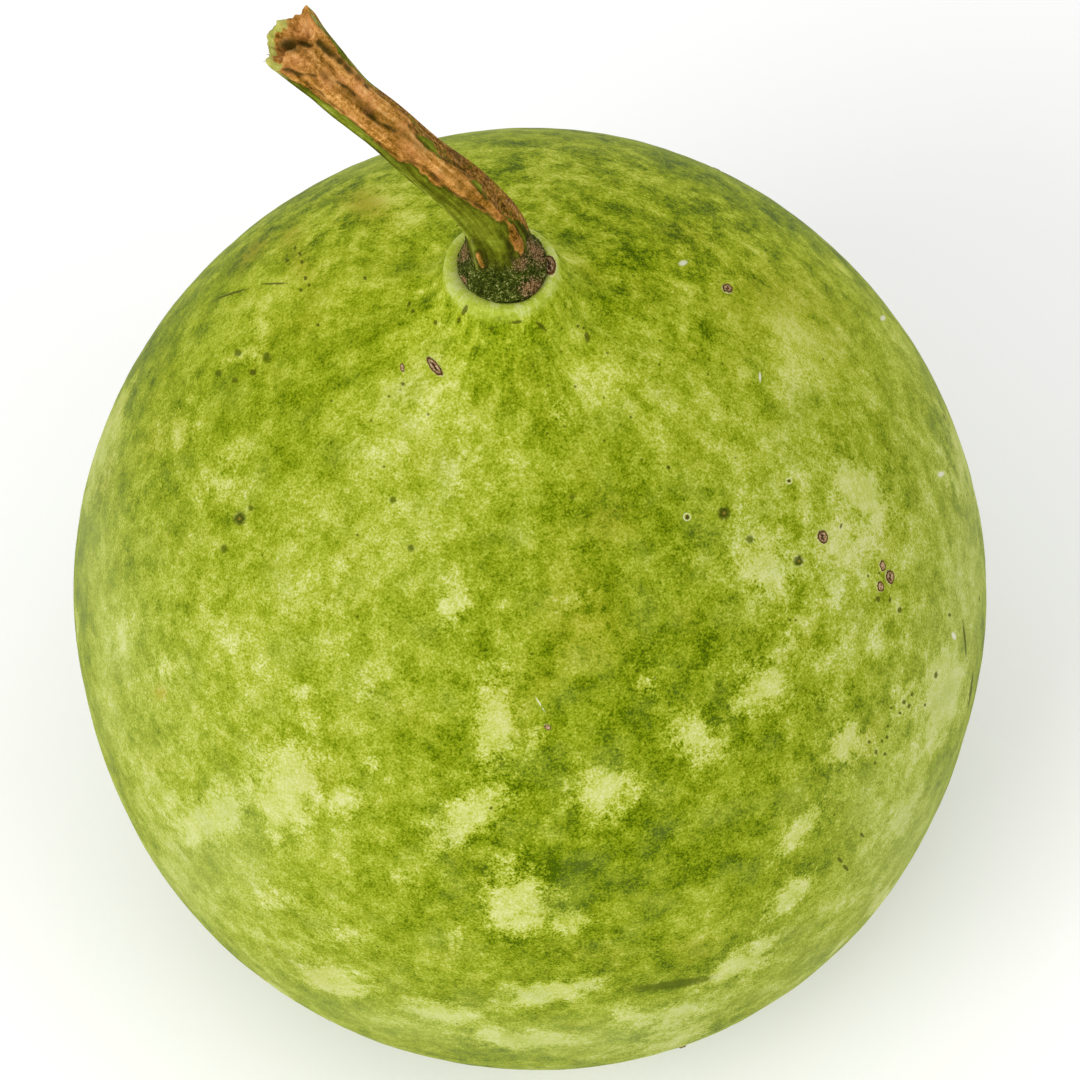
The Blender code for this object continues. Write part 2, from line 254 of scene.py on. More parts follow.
# Small marks of each kind: pixel, half width, half height, and tilt where there is one.
MARKS = {
    RINGED: (
        (724, 513, 6.6, 7.4), (798.7, 561, 5.5, 6.5), (239.5, 518.5, 7, 7.6),
    ),
    PALE_RING: (
        (687, 517, 4, 4), (789, 481, 3.4, 3.4),
    ),
    SMUDGE: (
        (750, 539, 4.5, 4.5), (238, 353, 4, 4), (267, 357, 5, 6), (218.6, 373.6, 4, 4),
        (235, 380, 3.5, 3.5), (393, 500, 4, 4), (411, 548, 4, 4), (572, 497, 3.4, 3.4), (224, 549, 4, 5),
        (251, 508, 3.4, 3.4), (670, 985, 46, 5, -8),
    ),
    DOT: (
        (253, 372.5, 4, 4), (295, 248, 2.2, 2.2), (300, 254, 2, 2.4), (287, 260.5, 2.2, 2.2),
        (302, 262, 2, 2.4), (305.5, 278, 2.2, 2.8), (309, 285, 2, 2), (301, 290, 2, 2.2),
        (318, 325, 2.2, 2.2), (365, 278, 2.4, 2.4), (668, 467, 2.2, 2.2), (403, 384, 2.4, 2.4),
        (841, 526, 1.6, 3.4, 15), (879, 573, 1.8, 1.8), (878, 599, 3, 4), (890, 600, 1.8, 3.4, 10),
        (899.5, 610, 2.4, 4, 10), (868, 576, 1.6, 1.6), (949.5, 615, 1.8, 2.4), (790, 620, 1.8, 1.8),
        (795.5, 620, 1.6, 1.6), (491, 808, 2, 2), (840, 860, 2.2, 4, -40), (846, 868, 2.2, 4.4, -40),
        (862, 835, 2.2, 3.2, -40), (262, 555, 1.4, 1.4), (459, 320, 2, 4.5, 18), (465, 310, 3, 7, 28),
        (492, 329, 1.4, 3.4, 15), (936, 675, 2, 4.4, 12), (925, 705, 1.4, 2.2), (912, 694, 1.8, 2.6, 15),
        (904, 702, 2.2, 3, 10), (909, 706, 2, 3, 15), (891, 708, 1.4, 1.6), (900, 713, 2, 2),
        (888, 726, 1.8, 2.4), (887, 737, 2, 2.4), (882, 741, 1.6, 2), (869, 742, 2, 2),
        (876, 752, 1.8, 3.4), (885, 754, 2.2, 2.2), (875, 763, 1.4, 2.6, 15), (511, 575, 1.2, 1.2),
        (532, 654, 1.8, 1.5), (621, 602, 1.4, 1.4), (600, 637, 1.4, 1.4), (637, 671, 2, 1.6),
        (517, 322, 7, 2.2, -8), (541, 326, 9, 2.4, 45), (587, 337, 3.4, 6.5, -10), (578, 326, 2, 2),
        (583.5, 328, 1.8, 1.8), (435.6, 322.6, 2.4, 3.4, 20), (409, 304, 2, 3.4, 20),
        (413, 311, 2, 2.6, 20), (230, 294, 22, 1.4, -19), (275, 283.5, 16, 1.2, -2),
        (965, 640, 1.2, 24, -6), (971, 690, 1.2, 22, 8),
    ),
    FLECK: (
        (683, 263, 5, 3, -15), (760, 377, 1.4, 6), (954, 636, 2.4, 4.6, -20), (883, 318, 3, 3),
        (941, 474, 4, 3, -30), (540, 704, 10, 0.8, 58),
    ),
}

# Corky scars that stand up from the skin: pixel, half width, half height, height and tilt.
SCARS = (
    (434.7, 366.6, 4.8, 13, 0.0003, -38), (402.5, 368, 2.4, 5, 0.0002, -8),
    (727, 289, 6, 4.6, 0.0003, 35), (822, 537, 5.8, 7.6, 0.00032, -15),
    (882, 566, 3.2, 6.2, 0.00026, -8), (889.5, 577, 4.6, 8, 0.0003, -8),
    (880, 586.5, 3.8, 5.8, 0.00026, -8), (547.5, 727, 2.8, 4.2, 0.00022, -55),
)
# The wart on the collar's lip is flat, and reaches past the lip's edge.
WART_HEIGHT = 0.00075
WART = (549.5, 266, 7.5, 11.5, WART_HEIGHT, -12)
# Scars at least this high have a dark slit along their middle.
SLIT_FROM = 0.00029

# Sides that the photograph doesn't show get marks of the same kinds, drawn by chance: their number,
# and the limits of their half width, of its ratio to their half height, and of their value.
UNSEEN_SEED = 7
UNSEEN_TONES = (22, (35, 110), (0.4, 1.0), (-0.14, 0.10))
UNSEEN_BLOTCHES = (62, (12, 38), (0.45, 1.0), (0.6, 1.05))
UNSEEN_MARKS = (60, (1.6, 4.2), (0.7, 1.4), (DOT, DOT, DOT, SMUDGE, SMUDGE, RINGED, FLECK))
UNSEEN_SCARS = (9, (2.6, 6.5), (1.0, 1.7), (0.0002, 0.0003))
UNSEEN_PIXELS = 5200.0  # pixels to a metre there
UNSEEN_HEIGHTS, UNSEEN_FROM = (-0.02, 0.17), 0.3
UNSEEN_LOWEST, UNSEEN_CLEAR = 0.004, 0.006  # they keep off the flat spot and the collar
SEEN_FACING = 0.22

# The dried strip along the stem: length, and the ring angles between which it lies, in degrees.
BARK_STRIP = (
    (0.0222, -42, -37), (0.0242, -50, -33), (0.0283, -64, -34), (0.0316, -80, -28), (0.036, -86, -28),
    (0.04, -86, -32), (0.044, -104, -26), (0.047, -109, 0), (0.05, -106, 10), (0.057, -106, 4),
    (0.0606, -114, -2), (0.0648, -124, -8), (0.07, -134, -6), (0.074, -136, 6),
)
SMALL_STRIP = (
    (0.0146, -42, -34), (0.0162, -50, -27), (0.0192, -50, -24), (0.02, -42, -28), (0.0207, -37, -31),
)
# A darker strip above them, and one on the side that the photograph doesn't show.
BROWN_STRIP = (
    (0.015, 6, 40), (0.018, -4, 60), (0.0232, -34, 70), (0.0283, -38, 72), (0.037, -34, 66),
    (0.044, -34, 58), (0.05, -10, 46), (0.056, 6, 30), (0.062, 8, 22),
)
BACK_STRIP = (
    (0.024, 148, 152), (0.033, 120, 168), (0.055, 112, 160), (0.072, 100, 172),
)
# Dark lines along the stem, most of them cracks and one a painted shadow under the torn end's lump: half
# width in pixels, darkness, and the pixels that each runs through.
CRACKS = (
    (9, 0.42, ((372, 106), (404, 134), (440, 165), (474, 197))),
    (5, 0.5, ((322, 72), (338, 84), (356, 98), (378, 122), (398, 133), (412, 140), (426, 149))),
    (2, 0.95, ((338, 82), (347, 88), (355, 95))),
    (1.5, 0.7, ((361, 107), (368, 112))),
    (3, 0.95, ((368, 115), (376, 121), (390, 128), (397, 131))),
    (3.2, 0.75, ((409, 126), (420, 137), (434, 153), (448, 160), (466, 170))),
    (4, 0.95, ((319, 42), (328, 49), (340, 61), (353, 74), (367, 86))),
    (2.6, 0.8, ((367, 79), (382, 91), (396, 102), (420, 122))),
    # A painted shadow under the torn end's lump.
    (2.4, 0.9, ((284, 69), (301, 75), (315, 75))),
    (2, 0.65, ((306, 82), (339, 110), (362, 131), (384, 149), (404, 161), (424, 167))),
    (2.2, 0.8, ((424, 167), (438, 180), (450, 192), (475, 203), (496, 217))),
    (3.2, 0.45, ((466, 170), (476, 181), (488, 195), (502, 210))),
    (3, 0.6, ((440, 137), (452, 150), (470, 166), (486, 184))),
    (2, 0.4, ((500, 222), (506, 236), (510, 246))),
)
CRACK_SWAY = 1.5
# Painted shade in the hollow of the torn face: pixel, half width, half height and tilt.
HOLLOW_PATCHES = (
    (289, 45.5, 10, 6.5, 12), (305, 44.5, 9, 2.8, 14),
)
# Brighter, orange bark on the torn end's lump and far wall, as above.
BRIGHT_PATCHES = (
    (295, 62, 16, 9, 12), (306, 28, 12, 11, 0), (326, 82, 10, 7, 45), (410, 149, 12, 6, 40),
    (362, 94, 14, 5, 40), (341, 78, 8, 3, 45), (352, 118, 9, 4, 45),
)
# Green left on the stem inside its dried strips: pixel, half width, half height and tilt.
GREEN_PATCHES = (
    (432, 143, 11, 5, 40), (478, 183, 11, 5, 60),
)
# Brown and pink patches on the root: pixel, half width, half height and tilt.
ROOT_PATCHES = (
    (520, 262, 8, 10, 0), (533, 287, 14, 9, -15), (536, 250, 9, 17, -25), (463, 248, 8, 15, 20),
    (463, 280, 4, 5, 0),
)
# An orange strip and a pale ridge where the stem leaves the root: half width, strength, pixels.
ROOT_STRIP = (3.2, 1.0, ((478, 254), (480, 260), (483, 266)))
ROOT_RIDGE = (1.1, 0.7, ((471.5, 240), (473, 249), (475, 259), (477, 269)))

# The stem's fine shape: points along its curve, its root's end, its torn face and the rim's fibres.
LINE_STEPS = 400
AHEAD = 0.0010
ROOT_FADES = 0.0164
FRINGE_HEIGHT, FRINGE_WAVES = 0.00018, 29
HOLLOW_STEPS = 34
LUMP_HEIGHT, LUMP_FACES, LUMP_WIDTH = 0.0026, math.radians(-85), math.radians(52)
LUMP_AT, LUMP_REACH = 0.55, 0.24
# Its relief: fibres everywhere, the bark's rise and its fibres, its border, cracks and the ridge.
FIBRE_RELIEF, BARK_RISE, BARK_FIBRES = 0.00010, 0.00010, 0.00022
BORDER_DEPTH, CRACK_DEPTH, RIDGE_RISE = 0.00016, 0.00040, 0.00020
# Size, octaves and seed of the noise that breaks up each of these, and how much it does so.
SWAY_NOISES = ((0.0022, 3, 11.0), (0.0022, 3, 12.0))
CRACK_NOISE = (0.0020, 3, 13.0)
ROOT_EDGE, ROOT_EDGE_NOISE = 0.0016, (0.0025, 3, 9.0)
WORN_EDGE, WORN_NOISE = 0.0012, (0.0015, 2, 15.0)
FIBRE_NOISE = (1.0, 4, 6.0)
FACE_SWAY, FACE_NOISE = 2.0, (0.0012, 2, 5.0)
RIM_EDGE, RIM_NOISE = 0.08, (0.0012, 2, 7.0)
RIM_GREEN_FACES = math.radians(165)
# How far green patches cut into the bark and into the brown strip.
GREEN_IN_BARK, GREEN_IN_BROWN = 0.0010, 0.0021
# The rim's fibres: place round it in degrees, length, half thickness and lean outwards.
FIBRE_SIDES = 6
FIBRE_ROOT = (0.0004, 0.0002)  # how far below and inside the rim each one starts
FIBRES = (
    (176, 0.0016, 0.00016, 0.6), (196, 0.0013, 0.00014, 0.7), (160, 0.0008, 0.00012, 0.3),
    (60, 0.0007, 0.00012, 0.4), (300, 0.0008, 0.00012, 0.5),
)

# How fast tones and patches fade outwards.
FALL_OFF = 0.75
# How far a small mark's faces reach, at most how far they lie from it, and the size of one face in
# the photograph.
MARK_REACH, MARK_WITHIN = 2.0, 0.012
FACE_PIXELS = 6.0
# The share of cells with a speck: everywhere, where noise adds more, and round the neck.
SPECKS_LEAST, SPECKS_MORE, SPECKS_NOISE = 0.02, 0.15, (0.035, 2, 3.0)
SPECKS_NECK, SPECKS_MIDDLE, SPECKS_WIDTH = 0.5, 0.022, 0.012
SPECK_CELLS = 420.0
# A scar's plateau, rim and bumps as shares of its height, and where its rim is.
SCAR_PLATEAU, SCAR_CREST, SCAR_BUMPS = 0.35, 0.65, 0.30
SCAR_CREST_AT, SCAR_CREST_WIDTH = 0.74, 0.17
SCAR_UNEVEN, SCAR_BUMP_SIZE, SCAR_TUCK = 0.10, 0.0005, 0.0003
SCAR_SIDES, SCAR_RINGS = 36, 12

# sRGB colours of the skin, from its darkest mottling to its palest blotches, and of the rest.
SKIN_COLOURS = (
    (0, (72, 94, 0)), (0.2, (115, 135, 2)), (0.45, (152, 167, 32)), (0.65, (179, 191, 68)),
    (0.84, (203, 210, 118)), (1, (222, 225, 162)),
)
BARK_COLOURS = (
    (0, (66, 46, 6)), (0.25, (120, 84, 18)), (0.5, (166, 116, 46)), (0.75, (208, 152, 80)),
    (1, (234, 188, 120)),
)
CORK_COLOURS = (
    (0, (78, 50, 24)), (0.35, (142, 108, 68)), (0.6, (190, 158, 114)), (1, (226, 206, 164)),
)
STEM_COLOURS = (
    (0, (40, 44, 2)), (0.35, (90, 97, 10)), (0.65, (130, 141, 32)), (1, (188, 196, 92)),
)
ROOT_COLOURS = (
    (0, (14, 20, 0)), (0.4, (38, 52, 4)), (0.62, (72, 84, 18)), (0.8, (134, 142, 66)),
    (1, (214, 212, 150)),
)
SKIN_LIGHT = 0.76  # the studio's light brightens the skin by as much
STEM_LIGHT = 0.86


def smooth_step(low, high, value):
    """0 below low, 1 above high, and a soft rise between them."""
    share = np.clip((value - low) / (high - low), 0.0, 1.0)
    return share * share * (3 - 2 * share)


def dimmed(colour, light):
    """sRGB numbers from 0 to 255, made darker by this factor, as Blender's sockets want them."""
    parts = [c / 255 for c in colour]
    parts = [p / 12.92 if p <= 0.04045 else ((p + 0.055) / 1.055) ** 2.4 for p in parts]
    return (*[part * light for part in parts], 1.0)


WIDEST_HEIGHT = BELLY_DEPTH * (1 - (FLAT_RADIUS / BODY_RADIUS) ** BELLY_FULLNESS) ** (1 / BELLY_FULLNESS)
RIM_CENTRE = Vector((-NECK_LEAN, 0.0, WIDEST_HEIGHT + RIM_HEIGHT))

# The camera's own directions and place.
RIGHT = np.array((1.0, 0.0, 0.0))
UP = np.array((0.0, math.sin(CAMERA_PITCH), math.cos(CAMERA_PITCH)))
FORWARD = np.array((0.0, math.cos(CAMERA_PITCH), -math.sin(CAMERA_PITCH)))
CAMERA_PLACE = (
    np.array((0.0, 0.0, WIDEST_HEIGHT)) - FORWARD * CAMERA_DISTANCE + RIGHT * CAMERA_RIGHT + UP * CAMERA_UP
)


def sight_line(x, y):
    """The direction in which the camera sees this pixel of the photograph."""
    middle = PHOTO_SIZE / 2
    across, up = (x - middle) / LENS_PIXELS, (middle - y) / LENS_PIXELS
    return Vector(FORWARD + RIGHT * across + UP * up).normalized()


def pixels_of(points):
    """Where the camera sees each point, in pixels of the photograph."""
    away = points - CAMERA_PLACE
    depth = away @ FORWARD
    middle = PHOTO_SIZE / 2
    across, up = (LENS_PIXELS * (away @ axis) / depth for axis in (RIGHT, UP))
    return np.stack([middle + across, middle - up], -1)


def faces_camera(points, normals):
    """1 where the skin is turned to the camera, and less towards its outline."""
    away = CAMERA_PLACE - points
    return np.sum(away * normals, -1) / np.linalg.norm(away, axis=-1)


def turned(angle, towards):
    """Angles measured from a direction, between minus and plus half a turn."""
    return np.remainder(angle - towards + math.pi, TURN) - math.pi


def hump(angle, faces, width):
    """1 at the angle that it faces, and less to its sides."""
    return np.exp(-(turned(angle, faces) / width) ** 2)


def shoulder_height_at(radius):
    share = (radius / BODY_RADIUS) ** SHOULDER_FULLNESS
    return SHOULDER_HEIGHT * (1 - share) ** (1 / SHOULDER_FULLNESS)


def neck_height_at(radius):
    """Height of the shoulders with the neck's two concave rises on them."""
    out = radius - COLLAR_RADIUS
    return (
        shoulder_height_at(radius)
        + STEEP_RISE * np.exp(-out / STEEP_WIDTH)
        + GENTLE_RISE * np.exp(-out / GENTLE_WIDTH)
    )


def fruit_profile():
    """Radius and height above the widest ring, from the middle of the flat spot into the socket."""
    base = -WIDEST_HEIGHT
    radius = FLAT_RINGS
    # The blossom end is a small pit in the flat spot.
    pit = BLOSSOM_DEPTH * (1 - smooth_step(0.3 * BLOSSOM_RADIUS, BLOSSOM_RADIUS, radius))
    parts = [np.stack([radius, base + pit], 1)]
    first = math.asin((-base / BELLY_DEPTH) ** (BELLY_FULLNESS / 2))
    turn = first * (1 - np.arange(1, BELLY_RINGS + 1) / BELLY_RINGS)
    radius = BODY_RADIUS * np.cos(turn) ** (2 / BELLY_FULLNESS)
    parts.append(np.stack([radius, -BELLY_DEPTH * np.sin(turn) ** (2 / BELLY_FULLNESS)], 1))
    last = math.acos((NECK_REACH / BODY_RADIUS) ** (SHOULDER_FULLNESS / 2))
    turn = last * np.arange(1, SHOULDER_RINGS + 1) / SHOULDER_RINGS
    radius = BODY_RADIUS * np.cos(turn) ** (2 / SHOULDER_FULLNESS)
    parts.append(np.stack([radius, neck_height_at(radius)], 1))
    share = (1 - np.arange(1, NECK_RINGS + 1) / NECK_RINGS) ** NECK_CROWDING
    radius = COLLAR_RADIUS + (NECK_REACH - COLLAR_RADIUS) * share
    parts.append(np.stack([radius, neck_height_at(radius)], 1))
    turn = math.pi * np.arange(LIP_RINGS + 1) / LIP_RINGS
    radius = COLLAR_RADIUS - LIP_RADIUS * (1 - np.cos(turn))
    parts.append(np.stack([radius, RIM_HEIGHT - LIP_RADIUS * (1 - np.sin(turn))], 1))
    depth = np.linspace(LIP_RADIUS, SOCKET_DEPTH, SOCKET_RINGS + 1)[1:]
    parts.append(np.stack([np.full(SOCKET_RINGS, SOCKET_RADIUS), RIM_HEIGHT - depth], 1))
    return np.concatenate(parts)


def uneven(angle, radius, height):
    """The share by which the fruit is wider or narrower here than a turned one."""
    rise = height / np.where(height > 0, SHOULDER_HEIGHT, BELLY_DEPTH)
    swell = OVAL * np.cos(2 * (angle - OVAL_FACES))
    swell = swell + THREE_SIDES * np.cos(3 * (angle - THREE_SIDES_FACE))
    swell = swell + SKEW * rise * np.cos(2 * (angle - SKEW_FACES))
    return swell * smooth_step(EVEN_WITHIN, UNEVEN_BEYOND, radius)


def fold_depth(angle, radius, height):
    """How far the folds sink the skin round the neck."""
    out = np.maximum(radius - COLLAR_RADIUS, 0.0) / FOLD_WIDTH
    wave = 0.5 - 0.5 * np.cos(FOLDS * angle + 1.3 * np.sin(2 * angle))
    return np.where(height > 0, FOLD_DEPTH * wave * out * np.exp(1 - out), 0.0)


def lip_swell(angle):
    """How far the lip grows into the socket on its wider side."""
    return LIP_SWELL * hump(angle, LIP_SWELL_FACES, LIP_SWELL_WIDTH)


def fruit_grid():
    """Points of the skin: one row for each ring of the profile, one column for each side."""
    profile = fruit_profile()
    radius, height = profile[:, :1], profile[:, 1:]
    angle = (np.arange(FRUIT_SIDES) * TURN / FRUIT_SIDES)[None, :]
    past_lip = np.clip((COLLAR_RADIUS - radius) / (2 * LIP_RADIUS), 0, 1) * (height > 0)
    wide = radius * (1 + uneven(angle, radius, height)) - past_lip * lip_swell(angle)
    lean = NECK_LEAN * (np.maximum(height, 0.0) / RIM_HEIGHT) ** 2
    wave = LIP_WAVE * smooth_step(RIM_HEIGHT - 0.006, RIM_HEIGHT - 0.001, height) * np.sin(3 * angle + 0.6)
    x = wide * np.cos(angle) - lean
    y = wide * np.sin(angle)
    z = height + WIDEST_HEIGHT - fold_depth(angle, radius, height) + wave
    return np.stack(np.broadcast_arrays(x, y, z), -1), angle + 0 * radius, radius + 0 * angle


def outward(grid):
    """Unit normals of a grid whose columns go round and whose rows go up its outside."""
    along = np.gradient(grid, axis=0)
    round_it = np.roll(grid, -1, axis=1) - np.roll(grid, 1, axis=1)
    normal = np.cross(round_it, along)
    return normal / np.maximum(np.linalg.norm(normal, axis=-1, keepdims=True), 1e-12)


def noise_at(points, size, octaves, seed):
    """Fractal noise of this feature size, about -1 to 1, at each point."""
    shift = Vector((seed, 2 * seed, 3 * seed))
    flat = points.reshape(-1, 3) / size
    values = [noise.fractal(Vector(p) + shift, 0.9, 2.0, octaves) for p in flat.tolist()]
    return np.array(values).reshape(points.shape[:-1])


def layered_noise(points, layers):
    return sum(height * noise_at(points, *layer) for height, *layer in layers)


def grid_faces(rows, sides):
    """Quads between the rings of a grid, with a face over its first ring and one over its last."""
    row = np.arange(rows - 1)[:, None] * sides
    here = np.arange(sides)[None, :]
    after = (here + 1) % sides
    quads = np.stack([row + here, row + after, row + sides + after, row + sides + here], -1).reshape(-1, 4)
    caps = [list(range(sides))[::-1], [(rows - 1) * sides + k for k in range(sides)]]
    return quads.tolist() + caps


def new_piece(name, points, faces, material):
    """A smooth piece that rides on the gourd."""
    mesh = bpy.data.meshes.new(name)
    mesh.from_pydata(points.reshape(-1, 3).tolist(), [], faces)
    mesh.validate()
    mesh.shade_smooth()
    mesh.materials.append(material)
    piece = bpy.data.objects.new(name, mesh)
    bpy.context.scene.collection.objects.link(piece)
    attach(piece, "root")
    return piece


def store(mesh, name, values, domain="POINT"):
    """Keeps one number or one vector for each point or face corner of a mesh."""
    kind, field = ("FLOAT_VECTOR", "vector") if values.ndim == 2 else ("FLOAT", "value")
    mesh.attributes.new(name, kind, domain).data.foreach_set(field, values.astype(np.float32).ravel())


class Nodes:
    """A material's nodes: each call adds one node, and sets or links its inputs by name or number.

    Its colours are sRGB numbers, dimmed by the light that falls on them.
    """

    def __init__(self, name, light=1.0):
        self.light = light
        self.material = bpy.data.materials.new(name)
        self.material.use_nodes = True
        self.tree = self.material.node_tree
        self.shader = self.tree.nodes["Principled BSDF"]

    def put(self, socket, value):
        if isinstance(value, bpy.types.NodeSocket):
            self.tree.links.new(value, socket)
        else:
            socket.default_value = value

    def add(self, kind, inputs, **settings):
        node = self.tree.nodes.new("ShaderNode" + kind)
        for name, value in settings.items():
            setattr(node, name, value)
        for name, value in inputs.items():
            self.put(node.inputs[name], value)
        return node

    def place(self):
        return self.add("TexCoord", {}).outputs["Object"]

    def math(self, operation, a, b=0.0, c=0.0):
        return self.add("Math", {0: a, 1: b, 2: c}, operation=operation).outputs[0]

    def times(self, a, b):
        return self.math("MULTIPLY", a, b)

    def attribute(self, name, output="Fac"):
        return self.add("Attribute", {}, attribute_name=name).outputs[output]

    def noise(self, place, scale, detail, roughness, distortion=0.0):
        """Noise about a middle of 0."""
        values = (place, scale, detail, roughness, distortion)
        inputs = dict(zip(("Vector", "Scale", "Detail", "Roughness", "Distortion"), values))
        return self.math("SUBTRACT", self.add("TexNoise", inputs).outputs["Fac"], 0.5)

    def weighed(self, *pairs):
        """The sum of each value times its weight."""
        total = 0.0
        for value, weight in pairs:
            total = self.math("MULTIPLY_ADD", value, weight, total)
        return total

    def ramp(self, value, low, high):
        """A soft step from 0 at low to 1 at high."""
        inputs = {"Value": value, "From Min": low, "From Max": high}
        return self.add("MapRange", inputs, interpolation_type="SMOOTHSTEP").outputs["Result"]

    def mix(self, share, a, b, **settings):
        return self.add("Mix", {0: share, 6: a, 7: b}, data_type="RGBA", **settings).outputs[2]

    def paint(self, colour, share, rgb):
        """A colour with this share of another over it."""
        return self.mix(share, colour, dimmed(rgb, self.light))

    def colours(self, value, stops):
        made = self.add("ValToRGB", {"Fac": value})
        elements = made.color_ramp.elements
        while len(elements) < len(stops):
            elements.new(0.5)
        for element, (place, rgb) in zip(elements, stops):
            element.position = place
            element.color = dimmed(rgb, self.light)
        return made.outputs["Color"]

    def bump(self, height, strength, distance):
        inputs = {"Height": height, "Strength": strength, "Distance": distance}
        return self.add("Bump", inputs).outputs["Normal"]

    def finish(self, **values):
        for name, value in values.items():
            self.put(self.shader.inputs[name.replace("_", " ")], value)
        return self.material


def skin_material():
    """Green rind: fractal mottling, ragged pale blotches, streaks from the neck, specks and marks, with
    painted light in its broad tones and a painted sheen towards its outline.
    """
    n = Nodes("gourd_skin", SKIN_LIGHT)
    place = n.place()
    clouds = n.noise(place, 55, 6, 0.60)
    patches = n.noise(place, 210, 5, 0.62)
    threads = n.noise(place, 820, 4, 0.65, 1.4)
    grain = n.noise(place, 2600, 2, 0.6)
    streaks = n.noise(n.attribute("flow", "Vector"), 1.0, 6, 0.68)
    # The lip is painted paler: partly its own paler green, partly a painted highlight along its rounded edge.
    lip = n.attribute("lip")
    lively = n.weighed((n.attribute("lively"), 0.9), (1.0, 1.0))
    tone = n.weighed(
        (clouds, 0.98),
        (n.times(patches, lively), 1.12),
        (n.times(threads, lively), 0.88),
        (grain, 1.05),
        (n.times(streaks, n.attribute("near_neck")), 1.35),
        # Broad tones: the skin's own uneven tone, with painted light in some of them.
        (n.attribute("tone"), 1.0),
        (lip, 0.29),
        (1.0, 0.42),
    )
    uneven = n.weighed((clouds, 0.7), (patches, 1.15), (threads, 0.8), (grain, 0.5))
    edge = n.weighed((n.attribute("pale"), 1.15), (uneven, 1.0))
    blotch = n.times(n.ramp(edge, 0.30, 0.92), 0.90)
    pale = n.weighed((patches, 0.45), (threads, 0.45), (grain, 0.55), (1.0, 0.85))
    share = n.add("Mix", {0: blotch, 2: tone, 3: pale}, data_type="FLOAT").outputs[0]
    colour = n.colours(share, SKIN_COLOURS)
    colour = n.paint(colour, n.times(lip, 0.45), (186, 204, 70))
    calm = n.weighed((n.attribute("lively"), -0.18), (1.0, 0.18))
    dull = n.times(n.ramp(n.noise(place, 95, 4, 0.6), -0.02, 0.22), calm)
    colour = n.paint(colour, dull, (140, 154, 76))
    # Painted sheen: the skin paler towards its outline.
    colour = n.paint(colour, n.times(n.attribute("edge_sheen"), 0.5), (190, 202, 122))
    vivid = n.weighed((n.attribute("vivid"), 1.0), (lip, -0.8))
    colour = n.mix(vivid, colour, VIVID, blend_type="MULTIPLY")
    warm = n.weighed((n.attribute("warm"), 1.0), (n.ramp(n.noise(place, 60, 3, 0.5), 0.04, 0.3), 0.22))
    warm = n.times(warm, n.ramp(n.weighed((patches, 1.0), (threads, 1.0)), -0.3, 0.2))
    colour = n.paint(colour, warm, (176, 160, 44))
    # Dark specks: some cells of a fine pattern hold one.
    cells = n.add("TexVoronoi", {"Vector": place, "Scale": SPECK_CELLS, "Randomness": 1.0})
    drawn = n.add("SeparateColor", {0: cells.outputs["Color"]}).outputs[0]
    chosen = n.math("LESS_THAN", drawn, n.attribute("specks"))
    speck = n.times(n.ramp(cells.outputs["Distance"], 0.17, 0.05), chosen)
    colour = n.paint(colour, n.times(speck, 0.75), (62, 74, 0))
    colour = add_marks(n, colour, threads)
    brown = n.ramp(n.weighed((n.attribute("blossom"), 1.0), (threads, 0.5)), 0.35, 0.65)
    colour = n.mix(brown, colour, n.colours(n.weighed((threads, 1.6), (1.0, 0.4)), BARK_COLOURS))
    rough = n.weighed((patches, 0.12), (grain, 0.1), (1.0, 0.52))
    relief = n.bump(n.weighed((grain, 0.8), (threads, 0.8), (patches, 0.5)), 0.3, 0.00012)
    return n.finish(Base_Color=colour, Roughness=rough, Normal=relief, Specular_IOR_Level=0.02)


def add_marks(n, colour, ragged):
    """Dots, ringed dots, pale flecks and smudges, from the offset and kind stored on each face."""
    across, down, kind = n.add("SeparateXYZ", {0: n.attribute("mark", "Vector")}).outputs
    away = n.math("SQRT", n.math("ADD", n.times(across, across), n.times(down, down)))
    away = n.weighed((away, 1.0), (ragged, 0.9))
    for wanted, share, rgb in (
        (SMUDGE, n.times(n.ramp(away, 1.25, 0.45), 0.85), (84, 98, 4)),
        (DOT, n.times(n.ramp(away, 1.1, 0.5), 0.85), (80, 84, 8)),
        (RINGED, n.times(n.ramp(away, 1.25, 0.45), 0.92), (58, 68, 6)),
        (RINGED, n.times(n.ramp(away, 0.36, 0.08), 0.8), (150, 132, 44)),
        (FLECK, n.times(n.ramp(away, 1.1, 0.5), 0.9), (232, 232, 206)),
        (PALE_RING, n.times(n.ramp(away, 1.1, 0.9), n.ramp(away, 0.6, 0.8)), (218, 221, 164)),
        (PALE_RING, n.ramp(away, 0.6, 0.3), (84, 66, 30)),
    ):
        here = n.math("COMPARE", kind, float(wanted), 0.5)
        colour = n.paint(colour, n.times(share, here), rgb)
    return colour


def pixel_frame(tree, x, y, tilt):
    """The skin's point at a pixel, and the rows that turn an offset from it into tilted pixels."""
    eye = Vector(CAMERA_PLACE)
    centre, normal, _, _ = tree.ray_cast(eye, sight_line(x, y))
    if centre is None:
        # A mark beyond the outline moves towards the body's middle until it meets the skin.
        return pixel_frame(tree, x + STEP_IN * (BODY_X - x), y + STEP_IN * (BODY_Y - y), tilt)
    steps = []
    for dx, dy in ((1, 0), (0, 1)):
        ray = sight_line(x + dx, y + dy)
        reach = (centre - eye).dot(normal) / ray.dot(normal)
        steps.append(eye + ray * reach - centre)
    to_pixels = np.linalg.pinv(np.array(steps).T)
    c, s = math.cos(math.radians(tilt)), math.sin(math.radians(tilt))
    return np.array(centre), np.array(((c, s), (-s, c))) @ to_pixels


